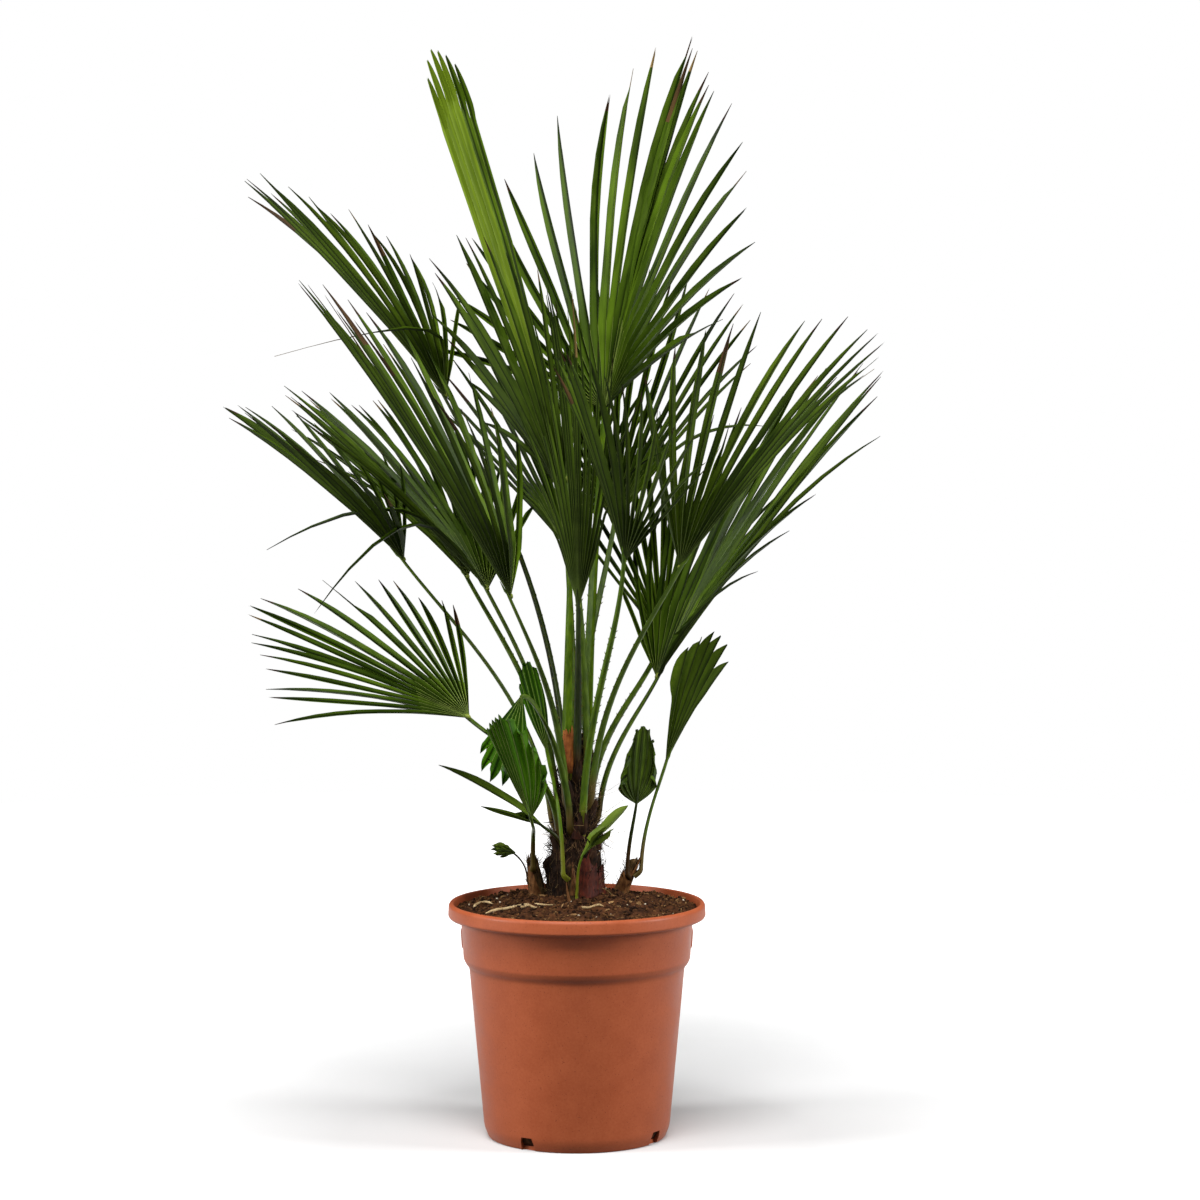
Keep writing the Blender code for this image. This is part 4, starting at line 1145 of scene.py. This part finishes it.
def notch_cutters():
    """Trapezoid blocks across the pot's foot, one at each notch, narrower towards their top."""
    batch = Batch()
    for turn in NOTCH_FIRST_ANGLE + 360 * np.arange(NOTCH_COUNT) / NOTCH_COUNT:
        out = around(np.radians(turn))
        beside = np.array([-out[1], out[0], 0.0])
        rings = [[(WALL_FOOT_RADIUS + a * NOTCH_DEPTH / 2) * out
                  + b * narrow * NOTCH_WIDTH / 2 * beside + height * NOTCH_HEIGHT * UP
                  for a, b in ((-1, -1), (1, -1), (1, 1), (-1, 1))]
                 for height, narrow in ((-1, 1.0), (0.55, 0.92), (1, 0.74))]
        batch.skin(np.array(rings)[None])
    mesh = bpy.data.meshes.new("notches")
    places, faces = np.concatenate(batch.places), np.concatenate(batch.faces)
    mesh.from_pydata(places.tolist(), [], faces.tolist())
    return put("notches", mesh)


def make_pot():
    """The pot's shell, turned from its profile with moulded roundings, its drain notches cut,
    and two low stacking lugs under the rim."""
    corners = [
        (0.0006, 0.0, 0.0), (FOOT_RADIUS, 0.0, 0.0016), (WALL_FOOT_RADIUS, WALL_FOOT, 0.0050),
        (WALL_TOP_RADIUS, WALL_TOP, 0.0030),
        (COLLAR_FOOT_RADIUS - 0.0022, COLLAR_FOOT - 0.0048, 0.0018),
        (COLLAR_FOOT_RADIUS, COLLAR_FOOT, 0.0016),
        (COLLAR_TOP_RADIUS, RIM_BOTTOM - 0.0035, 0.0016),
        (COLLAR_TOP_RADIUS + 0.0020, RIM_BOTTOM - 0.0010, 0.0008),
        (RIM_RADIUS - 0.0010, RIM_BOTTOM, 0.0012),
        (RIM_RADIUS + 0.0005, RIM_BOTTOM + 0.0022, 0.0010),
        (RIM_RADIUS, RIM_TOP - 0.0030, 0.0015), (RIM_RADIUS - 0.0022, RIM_TOP, 0.0016),
        (RIM_RADIUS - 0.0050, RIM_TOP - 0.0008, 0.0012),
        (RIM_RADIUS - 0.0060, RIM_BOTTOM + 0.0060, 0.0020),
        (COLLAR_TOP_RADIUS - POT_WALL, RIM_BOTTOM - 0.0035, 0.0015),
        (COLLAR_FOOT_RADIUS - POT_WALL, COLLAR_FOOT, 0.0010),
        (WALL_TOP_RADIUS - POT_WALL, WALL_TOP, 0.0010),
        (WALL_FOOT_RADIUS - POT_WALL, WALL_FOOT, 0.0020),
        (FOOT_RADIUS - POT_WALL, POT_FLOOR, 0.0010), (0.0006, POT_FLOOR, 0.0),
    ]
    shell = Batch().skin(lathe(rounded(corners), 192))
    pot = shell.piece("pot_shell", [pot_plastic()], "pot", ["pot"], 30.0)
    cutter = notch_cutters()
    cut = pot.modifiers.new("notches", "BOOLEAN")
    cut.object = cutter
    cut.operation = "DIFFERENCE"
    graph = bpy.context.evaluated_depsgraph_get()
    mesh = bpy.data.meshes.new_from_object(pot.evaluated_get(graph))
    pot.modifiers.clear()
    pot.data = mesh
    mesh.set_sharp_from_angle(angle=np.radians(30))
    bpy.data.objects.remove(cutter)
    lugs = Batch()
    for side in (0.0, np.pi):
        rows = np.linspace(-1, 1, 15)[:, None]
        column = np.linspace(-1, 1, 15)[None]
        height = LUG_HEIGHT + LUG_TALL / 2 * rows + 0 * column
        wall = np.interp(height, (COLLAR_FOOT, RIM_BOTTOM),
                         (COLLAR_FOOT_RADIUS, COLLAR_TOP_RADIUS))
        up, wide = (np.clip(1 - np.abs(share) ** 8, 0, 1) for share in (rows, column))
        pad = LUG_PROUD * up * wide
        out = around(side + LUG_WIDTH / 2 * column / wall)
        lift = UP * height[..., None]
        front, back = wall - 0.0003 + pad, wall - 0.0012
        lugs.skin(plate(front[..., None] * out + lift, back[..., None] * out + lift))
    lugs.piece("pot_lugs", [bpy.data.materials[POT_PLASTIC]], "pot", sharp=50.0)


def soil_height(x, y):
    """The soil's surface: the source's low mound, lumps in four sizes and a small hollow."""
    radius = np.hypot(x, y)
    base = np.interp(radius, (0, SOIL_FLAT_RADIUS, 0.095, RIM_RADIUS - 0.0085),
                     (SOIL_TOP, SOIL_TOP, SOIL_TOP - 0.0035, SOIL_EDGE))
    rng = np.random.default_rng(3)
    lumps = 0.0
    for pitch, tall in ((0.030, 0.0011), (0.014, 0.0009), (0.007, 0.0006), (0.0038, 0.0004)):
        for _ in range(5):
            turn, phase = rng.uniform(0, 2 * np.pi, 2)
            wave = 2 * np.pi / (pitch * rng.uniform(0.7, 1.4))
            way = np.cos(turn) * x + np.sin(turn) * y
            lumps = lumps + tall * 0.6 * np.sin(wave * way + phase)
    hollow = -0.006 * np.exp(-(((x - 0.016) / 0.007) ** 2 + ((y + 0.062) / 0.011) ** 2))
    return base + lumps * np.clip((RIM_RADIUS - 0.0085 - radius) / 0.01 + 0.4, 0.3, 1) + hollow


def make_soil(rng):
    """The soil's body with a lumpy top, and loose crumbs, chips and pale specks on it."""
    gap = POT_WALL + 0.0003
    side = [
        (0.0006, POT_FLOOR + 0.0003), (FOOT_RADIUS - gap - 0.0006, POT_FLOOR + 0.0003),
        (WALL_FOOT_RADIUS - gap - 0.0003, WALL_FOOT), (WALL_TOP_RADIUS - gap - 0.0003, WALL_TOP),
        (COLLAR_FOOT_RADIUS - gap - 0.0003, COLLAR_FOOT),
        (COLLAR_TOP_RADIUS - gap - 0.0005, RIM_BOTTOM - 0.0035),
    ]
    edge = RIM_RADIUS - 0.0068
    top = np.stack([np.linspace(edge, 0.0006, 74), np.full(74, SOIL_EDGE)], -1)
    rings = lathe(np.concatenate([side, top]), 300)
    ground = rings[:, len(side):]
    ground[..., 2] = soil_height(ground[..., 0], ground[..., 1])
    damp = peat("damp peat soil", "1A0C05", "50301A")
    Batch().skin(rings).piece("soil_body", [damp], "soil", ["soil"], 80.0)
    kinds = (
        ("soil_crumbs", 1700, (0.0007, 0.0020), (1, 0.9, 0.8), "2C190C", "6A4829"),
        ("soil_crumbs_dark", 900, (0.0008, 0.0024), (1, 0.9, 0.75), "160A04", "301C0E"),
        ("soil_chips", 150, (0.0015, 0.0042), (1, 0.45, 0.25), "54381F", "9C7A50"),
        ("soil_specks", 50, (0.0006, 0.0014), (1, 1, 0.9), "A8977C", "D8CDB8"),
    )
    for name, count, (small, large), shape, dark, light in kinds:
        radius = (edge - 0.001) * np.sqrt(rng.random(count))
        angle = rng.uniform(0, 2 * np.pi, count)
        x, y = radius * np.cos(angle), radius * np.sin(angle)
        size = rng.uniform(small, large, count)
        place = np.stack([x, y, soil_height(x, y) + 0.25 * size * shape[2]], -1)
        grains = Batch().skin(crumbs(place, size, np.array(shape), rng))
        loose = peat(name.replace("_", " "), dark, light, 500.0)
        grains.piece(name, [loose], "soil", sharp=35.0)


def crumbs(places, sizes, shape, rng):
    """Angular grains: four rings of six corners with jittered radii, stretched by the shape and
    turned at random."""
    count = len(places)
    tall = np.array([-1.0, -0.45, 0.45, 1.0])[None, :, None]
    wide = np.array([0.35, 0.95, 0.9, 0.3])[None, :, None] * rng.uniform(0.7, 1.2, (count, 4, 6))
    angle = (2 * np.pi * np.arange(6) / 6)[None, None]
    local = np.stack([wide * np.cos(angle), wide * np.sin(angle), tall + 0 * wide], -1)
    local = local * shape[[1, 2, 0]]
    ahead = unit(rng.normal(size=(count, 3)) * np.array([1, 1, 0.35]))
    other = unit(np.cross(ahead, unit(rng.normal(size=(count, 3)))))
    third = np.cross(ahead, other)
    turned = (local[..., 0:1] * other[:, None, None] + local[..., 1:2] * third[:, None, None]
              + local[..., 2:3] * ahead[:, None, None])
    return places[:, None, None] + sizes[:, None, None, None] * turned


def smooth_path(points, stations):
    """A Catmull-Rom curve through the points, read at even steps."""
    points = np.array(points)
    before, after = 2 * points[:1] - points[1:2], 2 * points[-1:] - points[-2:-1]
    points = np.concatenate([before, points, after])
    at = np.linspace(0, len(points) - 3 - 1e-9, stations)
    i = at.astype(int)
    t = (at - i)[:, None]
    a, b, c, d = (points[i + k] for k in range(4))
    return 0.5 * (2 * b + (c - a) * t + (2 * a - 5 * b + 4 * c - d) * t**2
                  + (3 * b - a - 3 * c + d) * t**3)


ROOT_RADIUS = 0.0016
ROOT_STATIONS = 30
ROOTS = (
    ((-0.094, -0.062), (-0.080, -0.052), (-0.062, -0.040), (-0.040, -0.034), (-0.022, -0.036)),
    ((0.002, -0.046), (0.012, -0.044), (0.022, -0.050), (0.028, -0.056)),
    ((-0.108, -0.020), (-0.104, -0.004), (-0.094, 0.000), (-0.088, -0.012)),
    ((-0.058, -0.046), (-0.050, -0.056), (-0.036, -0.058)),
)


def make_roots():
    """Pale thin roots that lie on the soil: each follows the ground's height, evened out over
    nine stations, and thins towards both ends."""
    batch = Batch()
    share = np.linspace(0, 1, ROOT_STATIONS)
    taper = ROOT_RADIUS * np.interp(share, (0, 0.1, 0.8, 1), (0.4, 1, 0.8, 0.25))
    for points in ROOTS:
        flat = smooth_path([(x, y, 0.0) for x, y in points], ROOT_STATIONS)
        ground = np.pad(soil_height(flat[:, 0], flat[:, 1]), 4, mode="edge")
        flat[:, 2] = np.convolve(ground, np.full(9, 1 / 9), "valid") + 0.9 * ROOT_RADIUS
        batch.skin(tubes(flat[None], taper[None], UP, 8))
    root = dry_fibre("pale dry root", "8A704C", "C2AA80", 0.75)
    batch.piece("soil_roots", [root], "soil", sharp=60.0)


# Studio

FLOOR_RADIUS = 3.0


def add_area(name, place, aim, size, power):
    """A soft rectangular light at a place, turned towards a point."""
    light = bpy.data.lights.new(name, "AREA")
    light.shape = "RECTANGLE"
    light.size, light.size_y = size
    light.energy = power
    obj = put(name, light)
    obj.location = place
    way = np.array(aim, float) - np.array(place, float)
    flat = np.hypot(way[0], way[1])
    obj.rotation_euler = (np.arctan2(flat, -way[2]), 0, np.arctan2(-way[0], way[1]))


def make_studio():
    """A round pale floor, a large soft light high in front, one at either side, and white air."""
    rim = FLOOR_RADIUS * around(circle(96))
    mesh = bpy.data.meshes.new("floor")
    mesh.from_pydata(rim.tolist(), [], [list(range(len(rim)))])
    mesh.materials.append(studio_card())
    floor = put("floor", mesh)
    floor.visible_diffuse = False
    add_area("front softbox", (-0.3, -1.8, 3.3), (0, 0, 0.5), (2.4, 1.6), 160.0)
    add_area("left softbox", (-2.8, -0.75, 1.3), (0, 0, 0.4), (0.8, 1.4), 78.0)
    add_area("right softbox", (2.8, -0.65, 1.25), (0, 0, 0.4), (0.8, 1.4), 78.0)
    world = bpy.data.worlds.new("white air")
    world.use_nodes = True
    bpy.context.scene.world = world
    tree = world.node_tree
    air = tree.nodes["Background"]
    air.inputs["Color"].default_value = (1, 1, 1, 1)
    air.inputs["Strength"].default_value = 0.11
    seen = node(tree, "Background", {"Color": (1, 1, 1, 1), "Strength": 1.0})
    ray = node(tree, "LightPath")
    both = node(tree, "MixShader", {0: ray.outputs["Is Camera Ray"], 1: air, 2: seen})
    tree.links.new(both.outputs[0], tree.nodes["World Output"].inputs["Surface"])
    bpy.context.scene.view_settings.view_transform = "Standard"


def make_camera():
    """The photograph's view: a long lens at the plant's middle height, tipped a little down."""
    camera = bpy.data.cameras.new("camera")
    camera.sensor_width = 36.0
    camera.lens = 103.38
    obj = put("camera", camera)
    obj.location = (0.0243, -3.6, 0.804)
    obj.rotation_euler = (np.radians(90 - 3.785), 0, 0)
    bpy.context.scene.camera = obj


def main():
    """Camera and studio, then the plant from the ground up. Soil, stem and shoots draw from one
    generator, in that order."""
    make_camera()
    make_studio()
    make_pot()
    rng = np.random.default_rng(12)
    make_soil(rng)
    make_roots()
    make_stem_core()
    make_stubs(rng)
    make_sheaths(rng)
    make_fibres(rng)
    make_shoots(rng)
    make_petioles()
    make_leaflets()


main()
